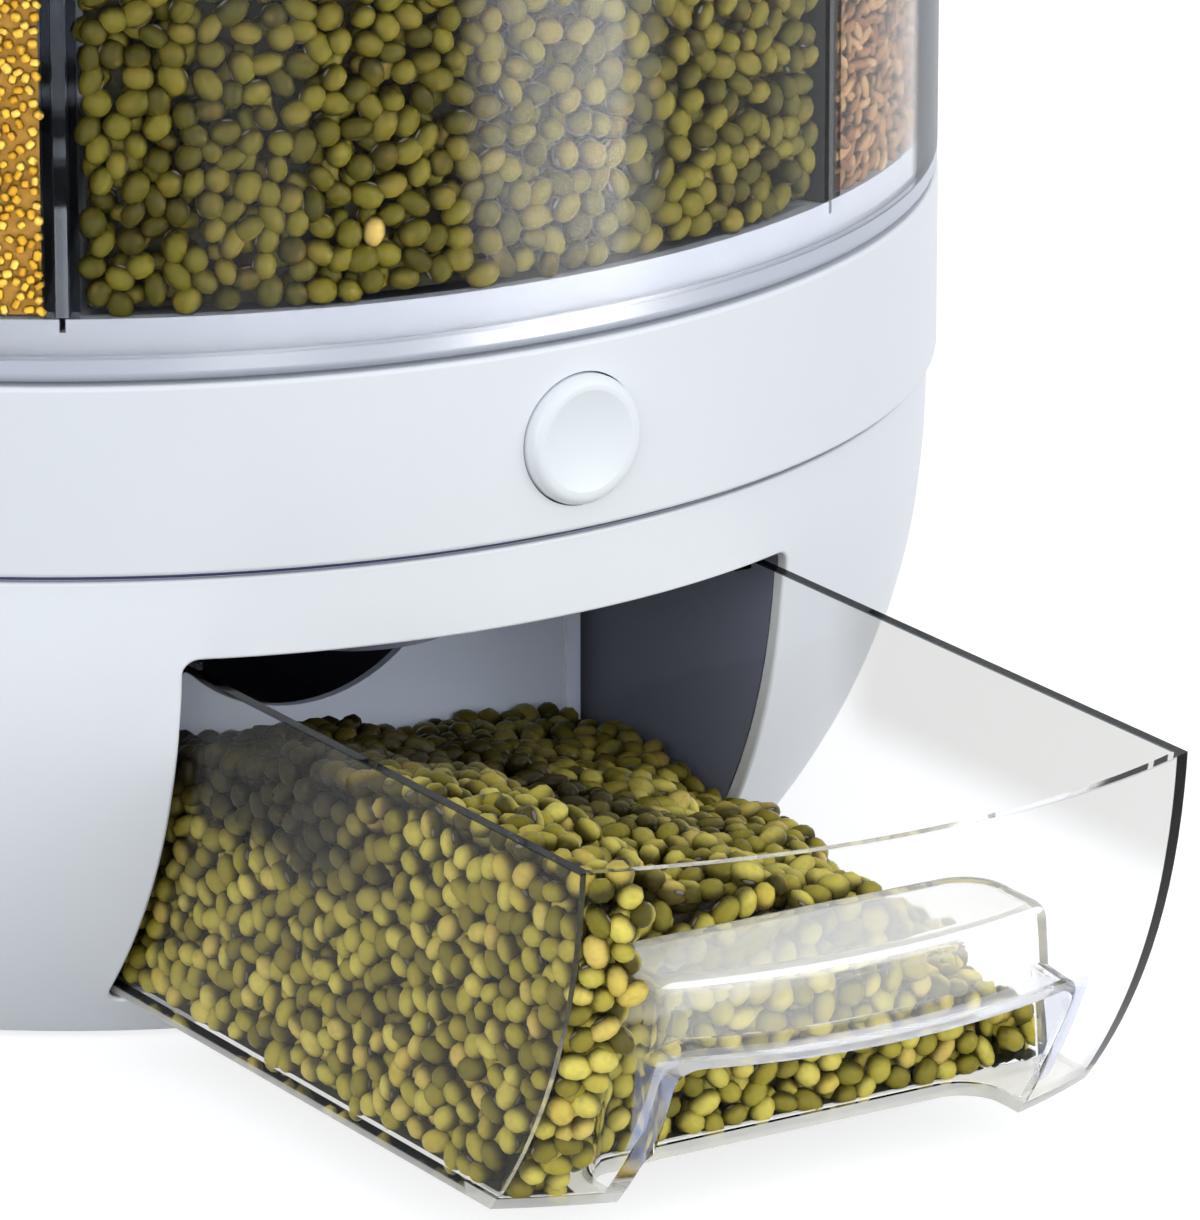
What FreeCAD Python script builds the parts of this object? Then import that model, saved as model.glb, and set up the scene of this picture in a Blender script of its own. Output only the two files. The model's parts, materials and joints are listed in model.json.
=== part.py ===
import FreeCAD, Part
import math
import os

V = FreeCAD.Vector
UP = V(0, 0, 1)

# Outside of the base: a bowl that flares upwards, with a collar on top of it
collar_radius = 147.5
collar_bottom_z = 90.2
collar_height = 31.8
collar_wall = 3.0
collar_flange_width = 15.5
collar_flange_thickness = 2.5
collar_overhang = 1.7
seam_gap = 1.3
bowl_flare = 32.84
bowl_power = 2.544
bowl_points = 7
bowl_bottom_z = 1.0
bowl_wall = 2.6
shell_rim_round = 0.5
spigot_height = 2.6
spigot_depth = 5.0
spigot_wall = 2.5
base_flange_width = 15.5
base_flange_thickness = 3.5

# Drawer opening in the bowl
opening_half_width = 58.2
opening_sill_z = 9.0
opening_top_z = 75.15
opening_corner = 2.6
opening_edge_round = 0.5

# Drawer: a clear bin whose front carries on the bowl's outline
drawer_side_gap = 1.7
drawer_bottom_z = 9.65
drawer_rim_z = 72.5
drawer_back_y = 47.0
drawer_wall = 1.8
drawer_floor = 2.0
drawer_back_corner = 5.0
drawer_pull = 117.4
notch_radius = 31.0
stop_tab_front_y = -10.0
stop_tab_length = 6.0
stop_tab_width = 5.0
stop_tab_height = 5.0

# Finger pocket moulded into the drawer's front, open below
pocket_half_width = 38.0
pocket_top_half_width = 35.0
pocket_back_y = -102.6
pocket_top_back_y = -106.0
pocket_ceiling_z = 46.9
pocket_soffit_z = 35.5
pocket_soffit_slope = 0.2
pocket_mouth_slope = 0.12
pocket_lip_radius = 128.4
pocket_back_corner = 7.0
pocket_ceiling_corner = 1.2
pocket_lip_corner = 2.5
pocket_arch_corner = 4.0

# Bay: the channel inside the base that the drawer slides in
bay_wall = 2.0
bay_floor = 1.8
bay_back_gap = 0.4
bay_bowl_gap = 0.3
runner_width = 4.0
runner_inset = 8.0
runner_gap = 0.3

# Floor plate, feet and the screws that hold the base together
floor_plate_thickness = 2.2
floor_plate_gap = 1.0
foot_radius = 7.0
foot_inset = 8.4
centre_foot_radius = 11.0
centre_boss_radius = 15.0
foot_thickness = 2.2
foot_recess = 1.2
foot_fit = 0.05
post_radius = 5.0
post_inset = 11.8
post_angle = 34.6
base_screw_radius = 1.6
base_screw_length = 22.0
screw_fit = 0.05
screw_head_height = 1.8
screw_head_extra = 1.9

# Deck: the fixed plate that carries the tub and holds the shutter
deck_thickness = 3.0
deck_edge_gap = 0.6
deck_boss_radius = 14.0
deck_boss_height = 12.0
collar_post_radius = 4.0
collar_post_inset = 5.7
collar_post_count = 6
collar_screw_radius = 1.4
collar_screw_length = 9.0

# Dispensing line: button, shutter and spout lie on one radial line
dispense_angle = 3.4
outlet_inset = 36.0
outlet_width = 32.0
outlet_depth = 10.0
button_z = 105.7
button_radius = 11.0
button_travel = 11.0
button_proud = 2.2
button_edge_round = 1.8
button_fit = 0.3
button_wall = 1.8
button_face = 3.2
button_dish_depth = 1.3
button_dish_radius = 8.6
sleeve_wall = 2.0
sleeve_end_wall = 2.0
sleeve_depth = 31.5
cap_end_margin = 1.0
stem_radius = 2.0
stem_fit = 0.08
gate_thickness = 2.5
gate_half_width = 22.0
gate_inner_reach = 30.0
gate_end_margin = 8.0
gate_gap = 0.3
gate_boss_half_width = 5.0
gate_stop_gap = 0.3
gate_boss_height = 5.4
gate_boss_overlap = 2.0
stem_headroom = 0.35
window_lip_wall = 1.6
guide_wall = 3.0
guide_foot = 3.3
guide_foot_thickness = 2.0
guide_inner_margin = 6.0
guide_outer_margin = 1.0
guide_screw_radius = 1.2
guide_screw_inset = 6.0
link_pin_radius = 1.0
spout_bore_radius = 17.0
spout_wall = 1.8
spout_bottom_z = 58.0
spout_flange_thickness = 2.0
spout_flange_half_length = 20.5
spring_wire_radius = 0.45
spring_coil_radius = 6.0
spring_turns = 5
spring_seat_gap = 0.2

# Spindle and the ball ring that the tub turns on
spindle_radius = 6.0
spindle_fit = 0.05
spindle_flange_radius = 9.5
spindle_flange_thickness = 2.5
ball_radius = 3.0
ball_circle_inset = 12.0
ball_count = 12
ball_fit = 0.06
ball_sink = 1.2
cage_half_width = 6.0
cage_thickness = 2.0
cage_hole_fit = 0.2
hub_disc_inset = 18.0
hub_disc_thickness = 3.0
hub_neck_radius = 22.0
hub_ledge_radius = 26.5
hub_ledge_thickness = 3.0
hub_socket_radius = 14.0
hub_socket_depth = 6.0
hub_spigot_height = 6.0
hub_spigot_fit = 0.3
washer_radius = 12.0
washer_thickness = 1.5
washer_gap = 0.3
nut_across_flats = 18.0
nut_height = 8.0

# Clear tub, turning above the collar
tub_inset = 0.2
tub_gap = 0.6
tub_wall_thickness = 3.0
tub_top_z = 295.0
tub_flange_width = 15.0
tub_flange_thickness = 3.0
tub_bottom_round = 1.6
tub_fit = 0.4
tub_rest_turn = -1.0
compartment_count = 6
rib_width = 1.5
rib_depth = 4.5
rib_top_gap = 12.0

# Carrier wheel under the grain floors
wheel_ring_width = 6.0
wheel_ring_thickness = 2.8
wheel_skirt_wall = 2.5
spoke_half_width = 4.0
spoke_bottom_z = 116.0
spoke_end_gap = 0.6
spoke_sleeve_gap = 0.6

# Grain floors: one funnel in each compartment
grain_floor_z = 132.5
funnel_wall = 2.2
funnel_land = 4.0
funnel_inner_radius = 23.5
funnel_side_angle = 0.2
funnel_outlet_z = 118.0
funnel_outlet_width = 28.0
neck_wall = 2.0
neck_lift = 1.2
seal_wall = 1.5
seal_height = 3.6
seal_gap = 0.3

# Divider: six blades on one hub column
blade_thickness = 2.0
blade_fit = 0.3
blade_rib_fit = 0.3
blade_top_gap = 15.0
column_wall = 3.0
column_cap_thickness = 3.0
column_cap_rise = 5.0

# Lid with a sunk bar grip
lid_gap = 0.1
lid_rim_height = 4.0
lid_crown = 5.0
lid_wall = 2.4
lid_plug_gap = 1.0
lid_plug_wall = 2.4
lid_plug_depth = 9.0
lid_dish_radius = 46.0
lid_dish_depth = 15.0
lid_dish_draft = 4.0
seal_lip = 0.7
seal_band_height = 3.0
seal_band_drop = 3.0
grip_half_width = 7.0
grip_top_gap = 1.0
grip_screw_place = 34.0
grip_end_gap = 0.3
grip_round = 2.5
grip_screw_radius = 1.4
grip_screw_length = 9.0


# Heights and radii that follow from the sizes above
collar_top_z = collar_bottom_z + collar_height
collar_inner_radius = collar_radius - collar_wall
shell_rim_z = collar_bottom_z - seam_gap
bowl_rim_radius = collar_radius - collar_overhang
spigot_radius = collar_inner_radius - bay_bowl_gap
base_flange_top_z = bowl_bottom_z + base_flange_thickness
floor_plate_top_z = base_flange_top_z + floor_plate_thickness
drawer_half_width = opening_half_width - drawer_side_gap
bay_floor_z = floor_plate_top_z + bay_floor
bay_top_z = shell_rim_z + spigot_height
collar_post_circle = collar_inner_radius - collar_post_inset
sleeve_end_radius = collar_radius - sleeve_depth
outlet_circle_radius = sleeve_end_radius - outlet_inset
gate_inner_end = outlet_circle_radius - gate_inner_reach
gate_outer_end = outlet_circle_radius + button_travel + outlet_depth / 2 + gate_end_margin
gate_boss_length = sleeve_end_radius - gate_outer_end - gate_stop_gap
guide_inner_end = gate_inner_end + guide_inner_margin
guide_outer_end = gate_outer_end - guide_outer_margin
hub_disc_radius = outlet_circle_radius - hub_disc_inset
ball_circle_radius = hub_disc_radius - ball_circle_inset
gate_top_z = button_z + gate_thickness / 2
gate_bottom_z = button_z - gate_thickness / 2
deck_bottom_z = button_z + stem_radius + stem_headroom
deck_top_z = deck_bottom_z + deck_thickness
guide_bottom_z = gate_bottom_z - gate_gap - guide_foot_thickness
sleeve_bore_radius = button_radius + button_fit
sleeve_radius = sleeve_bore_radius + sleeve_wall
sleeve_floor_radius = sleeve_end_radius + sleeve_end_wall
cap_end_radius = sleeve_floor_radius + button_travel + cap_end_margin
cap_face_radius = collar_radius + button_proud
ball_z = deck_top_z + ball_radius - ball_sink
hub_disc_bottom_z = ball_z + ball_radius - ball_sink
hub_disc_top_z = hub_disc_bottom_z + hub_disc_thickness
tub_radius = collar_radius - tub_inset
tub_inner_radius = tub_radius - tub_wall_thickness
tub_bottom_z = collar_top_z + tub_gap
tub_flange_top_z = tub_bottom_z + tub_flange_thickness
wheel_radius = tub_inner_radius - tub_fit
wheel_ring_top_z = tub_flange_top_z + wheel_ring_thickness
funnel_rim_bottom_z = grain_floor_z - funnel_wall
hub_neck_top_z = funnel_rim_bottom_z
seal_bottom_z = deck_top_z + seal_gap
neck_bottom_z = deck_top_z + neck_lift
divider_bottom_z = grain_floor_z + blade_fit
divider_top_z = tub_top_z - blade_top_gap
sector_angle = 360.0 / compartment_count
column_inner_radius = hub_neck_radius - column_wall + 1.0
lid_bottom_z = tub_top_z + lid_gap
lid_edge_z = lid_bottom_z + lid_rim_height
lid_top_z = lid_edge_z + lid_crown


def bowl_radius(z, inset=0.0):
    """Radius of the bowl's outline at a height, or of a surface set in from it by its wall."""
    share = max(0.0, 1.0 - z / collar_bottom_z)
    radius = bowl_rim_radius - bowl_flare * share ** bowl_power
    slope = bowl_flare * bowl_power / collar_bottom_z * share ** (bowl_power - 1.0)
    return radius - inset * math.hypot(1.0, slope)


def bowl_solid(inset, low_z, high_z):
    """The space inside the bowl's outline between two heights, turned about the axis."""
    step = (high_z - low_z) / (bowl_points - 1)
    heights = [low_z + step * i for i in range(bowl_points)]
    curve = Part.BSplineCurve()
    curve.interpolate([V(bowl_radius(z, inset), 0, z) for z in heights])
    low_edge = V(bowl_radius(low_z, inset), 0, low_z)
    high_edge = V(bowl_radius(high_z, inset), 0, high_z)
    edges = [
        Part.makeLine(V(0, 0, low_z), low_edge),
        curve.toShape(),
        Part.makeLine(high_edge, V(0, 0, high_z)),
        Part.makeLine(V(0, 0, high_z), V(0, 0, low_z)),
    ]
    return Part.Face(Part.Wire(edges)).revolve(V(0, 0, 0), UP, 360)


def ring(outer_radius, inner_radius, low_z, high_z):
    """A flat ring between two heights, or a disc where the inner radius is nothing."""
    solid = Part.makeCylinder(outer_radius, high_z - low_z, V(0, 0, low_z))
    if inner_radius > 0:
        solid = solid.cut(Part.makeCylinder(inner_radius, high_z - low_z, V(0, 0, low_z)))
    return solid


def block(x_low, x_high, y_low, y_high, z_low, z_high):
    return Part.makeBox(x_high - x_low, y_high - y_low, z_high - z_low, V(x_low, y_low, z_low))


def radial_block(r_low, r_high, half_width, z_low, z_high):
    """A block on the front radial line, between two distances from the axis."""
    return block(-half_width, half_width, -r_high, -r_low, z_low, z_high)


def turned(solid, angle):
    """The solid turned about the main axis, in degrees."""
    copy = solid.copy()
    copy.rotate(V(0, 0, 0), UP, angle)
    return copy


def on_dispense_line(solid):
    return turned(solid, dispense_angle)


def around(solid, count, first_angle=0.0):
    """Copies of a solid, evenly spaced about the main axis."""
    return [turned(solid, first_angle + 360.0 / count * i) for i in range(count)]


def fuse_all(first, others):
    return first.multiFuse(others).removeSplitter()


def revolved(points):
    """A closed outline in the XZ plane, turned about the main axis."""
    loop = [V(r, 0, z) for r, z in points]
    return Part.Face(Part.makePolygon(loop + [loop[0]])).revolve(V(0, 0, 0), UP, 360)


def edges_where(solid, test):
    """The edges whose middle point passes a test."""
    found = []
    for edge in solid.Edges:
        if test(edge, edge.valueAt((edge.FirstParameter + edge.LastParameter) / 2)):
            found.append(edge)
    return found


def runs_along(edge, axis):
    """True for a straight edge along an axis."""
    if edge.Curve.TypeId != "Part::GeomLine":
        return False
    return abs(abs(edge.Curve.Direction.dot(axis)) - 1) < 1e-6


def screw(radius, length, head_radius, tip_z, x=0.0, y=0.0):
    """A flat-headed screw that stands head down, with its tip at a height."""
    shank = Part.makeCylinder(radius, length, V(x, y, tip_z - length))
    head_z = tip_z - length - screw_head_height
    head = Part.makeCylinder(head_radius, screw_head_height, V(x, y, head_z))
    slot = Part.makeBox(head_radius * 1.4, 0.6, 0.7, V(x - head_radius * 0.7, y - 0.3, head_z))
    return shank.fuse(head).cut(slot).removeSplitter()


def post_places():
    circle = bowl_radius(bowl_bottom_z) - post_inset
    x = circle * math.cos(math.radians(post_angle))
    y = circle * math.sin(math.radians(post_angle))
    return [(sx * x, sy * y) for sx in (-1, 1) for sy in (-1, 1)]


def foot_places(radius, height, low_z):
    """Four discs under the bowl's edge, for the feet or for their recesses."""
    circle = bowl_radius(bowl_bottom_z) - foot_inset
    return around(Part.makeCylinder(radius, height, V(0, -circle, low_z)), 4, 45)


def collar_post_places():
    angles = [dispense_angle + 360.0 / collar_post_count * (i + 0.5) for i in range(collar_post_count)]
    return [(collar_post_circle * math.sin(math.radians(a)),
             -collar_post_circle * math.cos(math.radians(a))) for a in angles]


def opening_block(grow=0.0):
    """The drawer opening, as a rounded block that runs out through the bowl's front."""
    half_width = opening_half_width + grow
    solid = block(-half_width, half_width, -collar_radius - 10, -opening_half_width,
                  opening_sill_z - grow, opening_top_z + grow)
    corners = edges_where(solid, lambda edge, mid: runs_along(edge, V(0, 1, 0)))
    return solid.makeFillet(opening_corner + grow, corners)


def base_shell():
    """The white bowl, with the drawer opening, a foot flange and a spigot for the collar."""
    shell = bowl_solid(0, bowl_bottom_z, shell_rim_z)
    shell = shell.cut(bowl_solid(bowl_wall, base_flange_top_z, shell_rim_z + 1))
    flange_inner = bowl_radius(bowl_bottom_z) - base_flange_width
    shell = shell.cut(ring(flange_inner, 0, 0, base_flange_top_z + 1))
    shell = shell.fuse(ring(spigot_radius, spigot_radius - spigot_wall,
                            shell_rim_z - spigot_depth, shell_rim_z + spigot_height))
    shell = shell.cut(opening_block()).removeSplitter()
    outer_edges = edges_where(shell, on_opening_outline)
    shell = shell.makeFillet(opening_edge_round, outer_edges)
    rim = edges_where(shell, lambda edge, mid: abs(mid.z - shell_rim_z) < 0.01
                      and abs(math.hypot(mid.x, mid.y) - bowl_radius(shell_rim_z)) < 0.01)
    shell = shell.makeFillet(shell_rim_round, rim)
    for recess in foot_places(foot_radius, foot_recess, bowl_bottom_z):
        shell = shell.cut(recess)
    for x, y in post_places():
        hole = Part.makeCylinder(base_screw_radius + screw_fit, base_flange_thickness,
                                 V(x, y, bowl_bottom_z))
        head = Part.makeCylinder(base_screw_radius + screw_head_extra + screw_fit, screw_head_height,
                                 V(x, y, bowl_bottom_z))
        shell = shell.cut(hole).cut(head)
    return shell


def on_opening_outline(edge, mid):
    """True for the opening's edges that lie on the bowl's outside."""
    if mid.y > -opening_half_width or abs(mid.x) > opening_half_width + 0.1:
        return False
    if not opening_sill_z - 0.1 < mid.z < opening_top_z + 0.1:
        return False
    return abs(math.hypot(mid.x, mid.y) - bowl_radius(mid.z)) < 0.1


def floor_plate():
    """The plate that closes the base from below, with a boss for the middle foot."""
    radius = bowl_radius(base_flange_top_z, bowl_wall) - floor_plate_gap
    plate = ring(radius, 0, base_flange_top_z, floor_plate_top_z)
    plate = plate.fuse(ring(centre_boss_radius, 0, bowl_bottom_z, base_flange_top_z))
    flange_inner = bowl_radius(bowl_bottom_z) - base_flange_width
    rib = block(-flange_inner + 1, -centre_boss_radius + 2, -1, 1, bowl_bottom_z + 0.6, base_flange_top_z)
    plate = plate.multiFuse(around(rib, 8, 22.5)).removeSplitter()
    plate = plate.cut(ring(centre_foot_radius, 0, bowl_bottom_z, bowl_bottom_z + foot_recess))
    for x, y in post_places():
        plate = plate.cut(Part.makeCylinder(base_screw_radius + screw_fit, 10, V(x, y, bowl_bottom_z)))
    return plate


def foot_pads():
    """Four rubber pads under the rim and one under the spindle."""
    pads = foot_places(foot_radius - foot_fit, foot_thickness, 0)
    centre = Part.makeCylinder(centre_foot_radius - foot_fit, foot_thickness)
    return Part.makeCompound(pads + [centre])


def base_screws():
    tip_z = bowl_bottom_z + screw_head_height + base_screw_length
    head_radius = base_screw_radius + screw_head_extra
    return Part.makeCompound([screw(base_screw_radius, base_screw_length, head_radius, tip_z, x, y)
                              for x, y in post_places()])


def drawer_bay():
    """Floor, side walls and rear wall round the drawer, with two runners."""
    inner = opening_half_width
    outer = inner + bay_wall
    back = drawer_back_y + bay_back_gap
    bay = block(-outer, outer, -collar_radius, back + bay_wall, floor_plate_top_z, bay_top_z)
    bay = bay.cut(block(-inner, inner, -collar_radius, back, bay_floor_z, bay_top_z))
    for side in (-1, 1):
        x = side * (drawer_half_width - runner_inset)
        bay = bay.fuse(block(x - runner_width / 2, x + runner_width / 2, -collar_radius, back,
                             bay_floor_z, drawer_bottom_z - runner_gap))
    inside = bowl_solid(bowl_wall + bay_bowl_gap, floor_plate_top_z, shell_rim_z)
    inside = inside.fuse(ring(spigot_radius - spigot_wall - bay_bowl_gap, 0,
                              shell_rim_z - spigot_depth - bay_bowl_gap, bay_top_z))
    inside = inside.cut(ring(collar_radius, spigot_radius - spigot_wall - bay_bowl_gap,
                             shell_rim_z - spigot_depth - bay_bowl_gap, bay_top_z))
    return bay.common(inside).removeSplitter()


def collar():
    """The white ring above the seam, with the button's sleeve and posts for its screws."""
    flange_inner = collar_radius - collar_flange_width
    body = ring(collar_radius, collar_inner_radius, collar_bottom_z, collar_top_z)
    flange_low_z = collar_top_z - collar_flange_thickness
    body = body.fuse(ring(collar_radius - 1, flange_inner, flange_low_z, collar_top_z))
    sleeve = radial_cylinder(sleeve_radius, sleeve_end_radius, collar_radius - 1)
    body = body.fuse(on_dispense_line(sleeve))
    posts = [Part.makeCylinder(collar_post_radius, collar_top_z - 1 - deck_top_z, V(x, y, deck_top_z))
             for x, y in collar_post_places()]
    body = body.multiFuse(posts).removeSplitter()
    bore = radial_cylinder(sleeve_bore_radius, sleeve_floor_radius, collar_radius + 10)
    body = body.cut(on_dispense_line(bore))
    hole = radial_cylinder(stem_radius + stem_fit, sleeve_end_radius - 1, collar_radius)
    body = body.cut(on_dispense_line(hole))
    for x, y in collar_post_places():
        body = body.cut(Part.makeCylinder(collar_screw_radius + screw_fit,
                                          collar_screw_length - deck_thickness + 0.3, V(x, y, deck_top_z)))
    rims = edges_where(body, lambda edge, mid: abs(math.hypot(mid.x, mid.y) - collar_radius) < 0.01
                       and (abs(mid.z - collar_top_z) < 0.01 or abs(mid.z - collar_bottom_z) < 0.01))
    return body.makeFillet(0.8, rims)


def radial_cylinder(radius, r_low, r_high, z=button_z):
    """A cylinder that lies along the front radial line."""
    return Part.makeCylinder(radius, r_high - r_low, V(0, -r_low, z), V(0, -1, 0))


def collar_screws():
    head_radius = collar_screw_radius + screw_head_extra
    tip_z = deck_bottom_z + collar_screw_length
    return Part.makeCompound([screw(collar_screw_radius, collar_screw_length, head_radius, tip_z, x, y)
                              for x, y in collar_post_places()])


def race_groove(z):
    """The round-bottomed track that the balls run in."""
    return Part.makeTorus(ball_circle_radius, ball_radius + ball_fit, V(0, 0, z))


def deck():
    """The fixed plate: posts down to the floor plate, an outlet window, a boss and a ball track."""
    radius = collar_inner_radius - deck_edge_gap
    plate = ring(radius, 0, deck_bottom_z, deck_top_z)
    plate = plate.fuse(ring(deck_boss_radius, 0, deck_bottom_z - deck_boss_height, deck_bottom_z))
    track_width = ball_radius + 2.5
    plate = plate.fuse(ring(ball_circle_radius + track_width, ball_circle_radius - track_width,
                            deck_bottom_z - 1.2, deck_bottom_z).cut(gate_path()))
    posts = [Part.makeCylinder(post_radius, deck_bottom_z - floor_plate_top_z, V(x, y, floor_plate_top_z))
             for x, y in post_places()]
    lip = outlet_window(window_lip_wall, gate_top_z + gate_gap, deck_bottom_z)
    plate = plate.multiFuse(posts + [on_dispense_line(lip)]).removeSplitter()
    plate = plate.cut(on_dispense_line(outlet_window(0, gate_top_z, deck_top_z + 1)))
    notch = radial_block(sleeve_end_radius - 1, collar_radius, sleeve_radius + 1, gate_top_z, deck_top_z + 1)
    plate = plate.cut(on_dispense_line(notch))
    plate = plate.cut(race_groove(ball_z))
    plate = plate.cut(ring(spindle_radius + spindle_fit, 0, 0, deck_top_z + 1))
    for x, y in post_places():
        pilot = Part.makeCylinder(base_screw_radius + screw_fit, base_screw_length,
                                  V(x, y, floor_plate_top_z))
        plate = plate.cut(pilot)
    for x, y in collar_post_places():
        plate = plate.cut(Part.makeCylinder(collar_screw_radius + screw_fit, 10, V(x, y, deck_bottom_z - 1)))
    for x, y in guide_screw_places():
        pilot = Part.makeCylinder(guide_screw_radius + screw_fit, 2.2, V(x, y, deck_bottom_z))
        plate = plate.cut(on_dispense_line(pilot))
    return plate


def gate_path():
    """The strip under the deck that the shutter and its guides take up."""
    half_width = gate_half_width + gate_gap + guide_wall + 0.5
    strip = radial_block(gate_inner_end - button_travel - 1, guide_outer_end + 1, half_width,
                         guide_bottom_z, deck_bottom_z + 1)
    return on_dispense_line(strip)


def outlet_window(grow, z_low, z_high):
    half_depth = outlet_depth / 2 + grow
    return radial_block(outlet_circle_radius - half_depth, outlet_circle_radius + half_depth,
                        outlet_width / 2 + grow, z_low, z_high)


def gate_plate():
    """The shutter: its slot comes under the outlet when the button is pressed."""
    plate = radial_block(gate_inner_end, gate_outer_end, gate_half_width, gate_bottom_z, gate_top_z)
    slot_radius = outlet_circle_radius + button_travel
    slot = radial_block(slot_radius - outlet_depth / 2, slot_radius + outlet_depth / 2,
                        outlet_width / 2, gate_bottom_z, gate_top_z)
    boss = radial_block(gate_outer_end - gate_boss_overlap, gate_outer_end + gate_boss_length,
                        gate_boss_half_width, button_z - gate_boss_height / 2, button_z + stem_radius)
    plate = plate.cut(slot).fuse(boss).removeSplitter()
    plate = plate.cut(radial_cylinder(stem_radius + stem_fit, gate_outer_end + 0.5, collar_radius))
    plate = plate.cut(link_pin_cylinder(link_pin_radius + screw_fit, 10))
    return on_dispense_line(plate)


def link_pin_cylinder(radius, length):
    low_z = button_z - gate_boss_height / 2 + (gate_boss_height / 2 + stem_radius - length) / 2
    return Part.makeCylinder(radius, length, V(0, -gate_outer_end - gate_boss_length / 2, low_z))


def link_pin():
    """The pin that holds the stem in the shutter's boss."""
    return on_dispense_line(link_pin_cylinder(link_pin_radius, gate_boss_height / 2 + stem_radius - 0.2))


def button_stem():
    """The rod from the button to the shutter."""
    stem = radial_cylinder(stem_radius, gate_outer_end + 0.7, cap_face_radius - button_face)
    return on_dispense_line(stem.cut(link_pin_cylinder(link_pin_radius + screw_fit, 10)))


def button_cap():
    """The round button, hollow behind and dished in front."""
    cap = radial_cylinder(button_radius, cap_end_radius, cap_face_radius)
    rim = edges_where(cap, lambda edge, mid: abs(mid.y + cap_face_radius) < 0.01)
    cap = cap.makeFillet(button_edge_round, rim)
    hollow_end = cap_face_radius - button_face
    cap = cap.cut(radial_cylinder(button_radius - button_wall, cap_end_radius - 1, hollow_end))
    sphere_radius = (button_dish_radius ** 2 + button_dish_depth ** 2) / (2 * button_dish_depth)
    dish_centre = V(0, -cap_face_radius + button_dish_depth - sphere_radius, button_z)
    dish = Part.makeSphere(sphere_radius, dish_centre)
    return on_dispense_line(cap.cut(dish))


def helix_point(turns, low, pitch):
    """A point on the spring's centre line and the direction of travel there, along the radial line."""
    angle = 2 * math.pi * turns
    point = V(spring_coil_radius * math.cos(angle), -low - pitch * turns,
              button_z + spring_coil_radius * math.sin(angle))
    travel = V(-spring_coil_radius * math.sin(angle), -pitch / (2 * math.pi),
               spring_coil_radius * math.cos(angle))
    return point, travel.normalize()


def arc_from(start, travel, end):
    """The arc that leaves one point in a given direction and ends in another."""
    chord = end - start
    half = chord.Length / 2
    along = V(chord).normalize()
    lean = travel - along * travel.dot(along)
    swell = half * math.tan(math.acos(travel.dot(along)) / 2)
    middle = start + chord * 0.5 + lean.normalize() * swell
    return Part.Arc(start, middle, end).toShape()


def biarc(start, travel, end, arrival):
    """Two arcs that join smoothly and have the given directions at their ends."""
    span = end - start
    total = travel + arrival
    bend = 2 * (1 - travel.dot(arrival))
    reach = (math.sqrt(span.dot(total) ** 2 + bend * span.dot(span)) - span.dot(total)) / bend
    near = start + travel * reach
    far = end - arrival * reach
    middle = (near + far) * 0.5
    return [arc_from(start, travel, middle), arc_from(end, arrival * -1, middle)]


def return_spring():
    """The coil spring between the sleeve's floor and the button: one tube along a chain of arcs."""
    low = sleeve_floor_radius + spring_wire_radius + spring_seat_gap
    high = cap_face_radius - button_face - spring_wire_radius - spring_seat_gap
    pitch = (high - low) / spring_turns
    path = []
    for quarter in range(4 * spring_turns):
        start, travel = helix_point(quarter / 4, low, pitch)
        end, arrival = helix_point((quarter + 1) / 4, low, pitch)
        path.extend(biarc(start, travel, end, arrival))
    start, travel = helix_point(0, low, pitch)
    section = Part.Wire(Part.makeCircle(spring_wire_radius, start, travel))
    wire = Part.Wire(Part.__sortEdges__(path)).makePipeShell([section], True, False)
    return on_dispense_line(wire)


def gate_guides():
    """Two rails that hold the shutter up against the deck."""
    rails = []
    for side in (-1, 1):
        inner = gate_half_width + gate_gap
        outer = inner + guide_wall
        edge = inner - guide_foot
        wall = block(*sorted((side * inner, side * outer)), -guide_outer_end, -guide_inner_end,
                     guide_bottom_z, deck_bottom_z)
        foot = block(*sorted((side * edge, side * outer)), -guide_outer_end, -guide_inner_end,
                     guide_bottom_z, guide_bottom_z + guide_foot_thickness)
        rail = wall.fuse(foot).removeSplitter()
        for x, y in guide_screw_places():
            hole = Part.makeCylinder(guide_screw_radius + screw_fit, 20, V(x, y, guide_bottom_z - 1))
            rail = rail.cut(hole)
        rails.append(on_dispense_line(rail))
    return Part.makeCompound(rails)


def guide_screw_places():
    """Screw places along both rails, before they are turned to the dispensing line."""
    x = gate_half_width + gate_gap + guide_wall / 2
    near = outlet_circle_radius - spout_flange_half_length + guide_screw_inset
    far = outlet_circle_radius + spout_flange_half_length - guide_screw_inset
    return [(side * x, -r) for side in (-1, 1) for r in (near, far)]


def guide_screws():
    head_radius = guide_screw_radius + 1.2
    length = deck_bottom_z + 2.0 - guide_bottom_z + spout_flange_thickness
    screws = [screw(guide_screw_radius, length, head_radius, deck_bottom_z + 2.0, x, y)
              for x, y in guide_screw_places()]
    return on_dispense_line(Part.makeCompound(screws))


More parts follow.
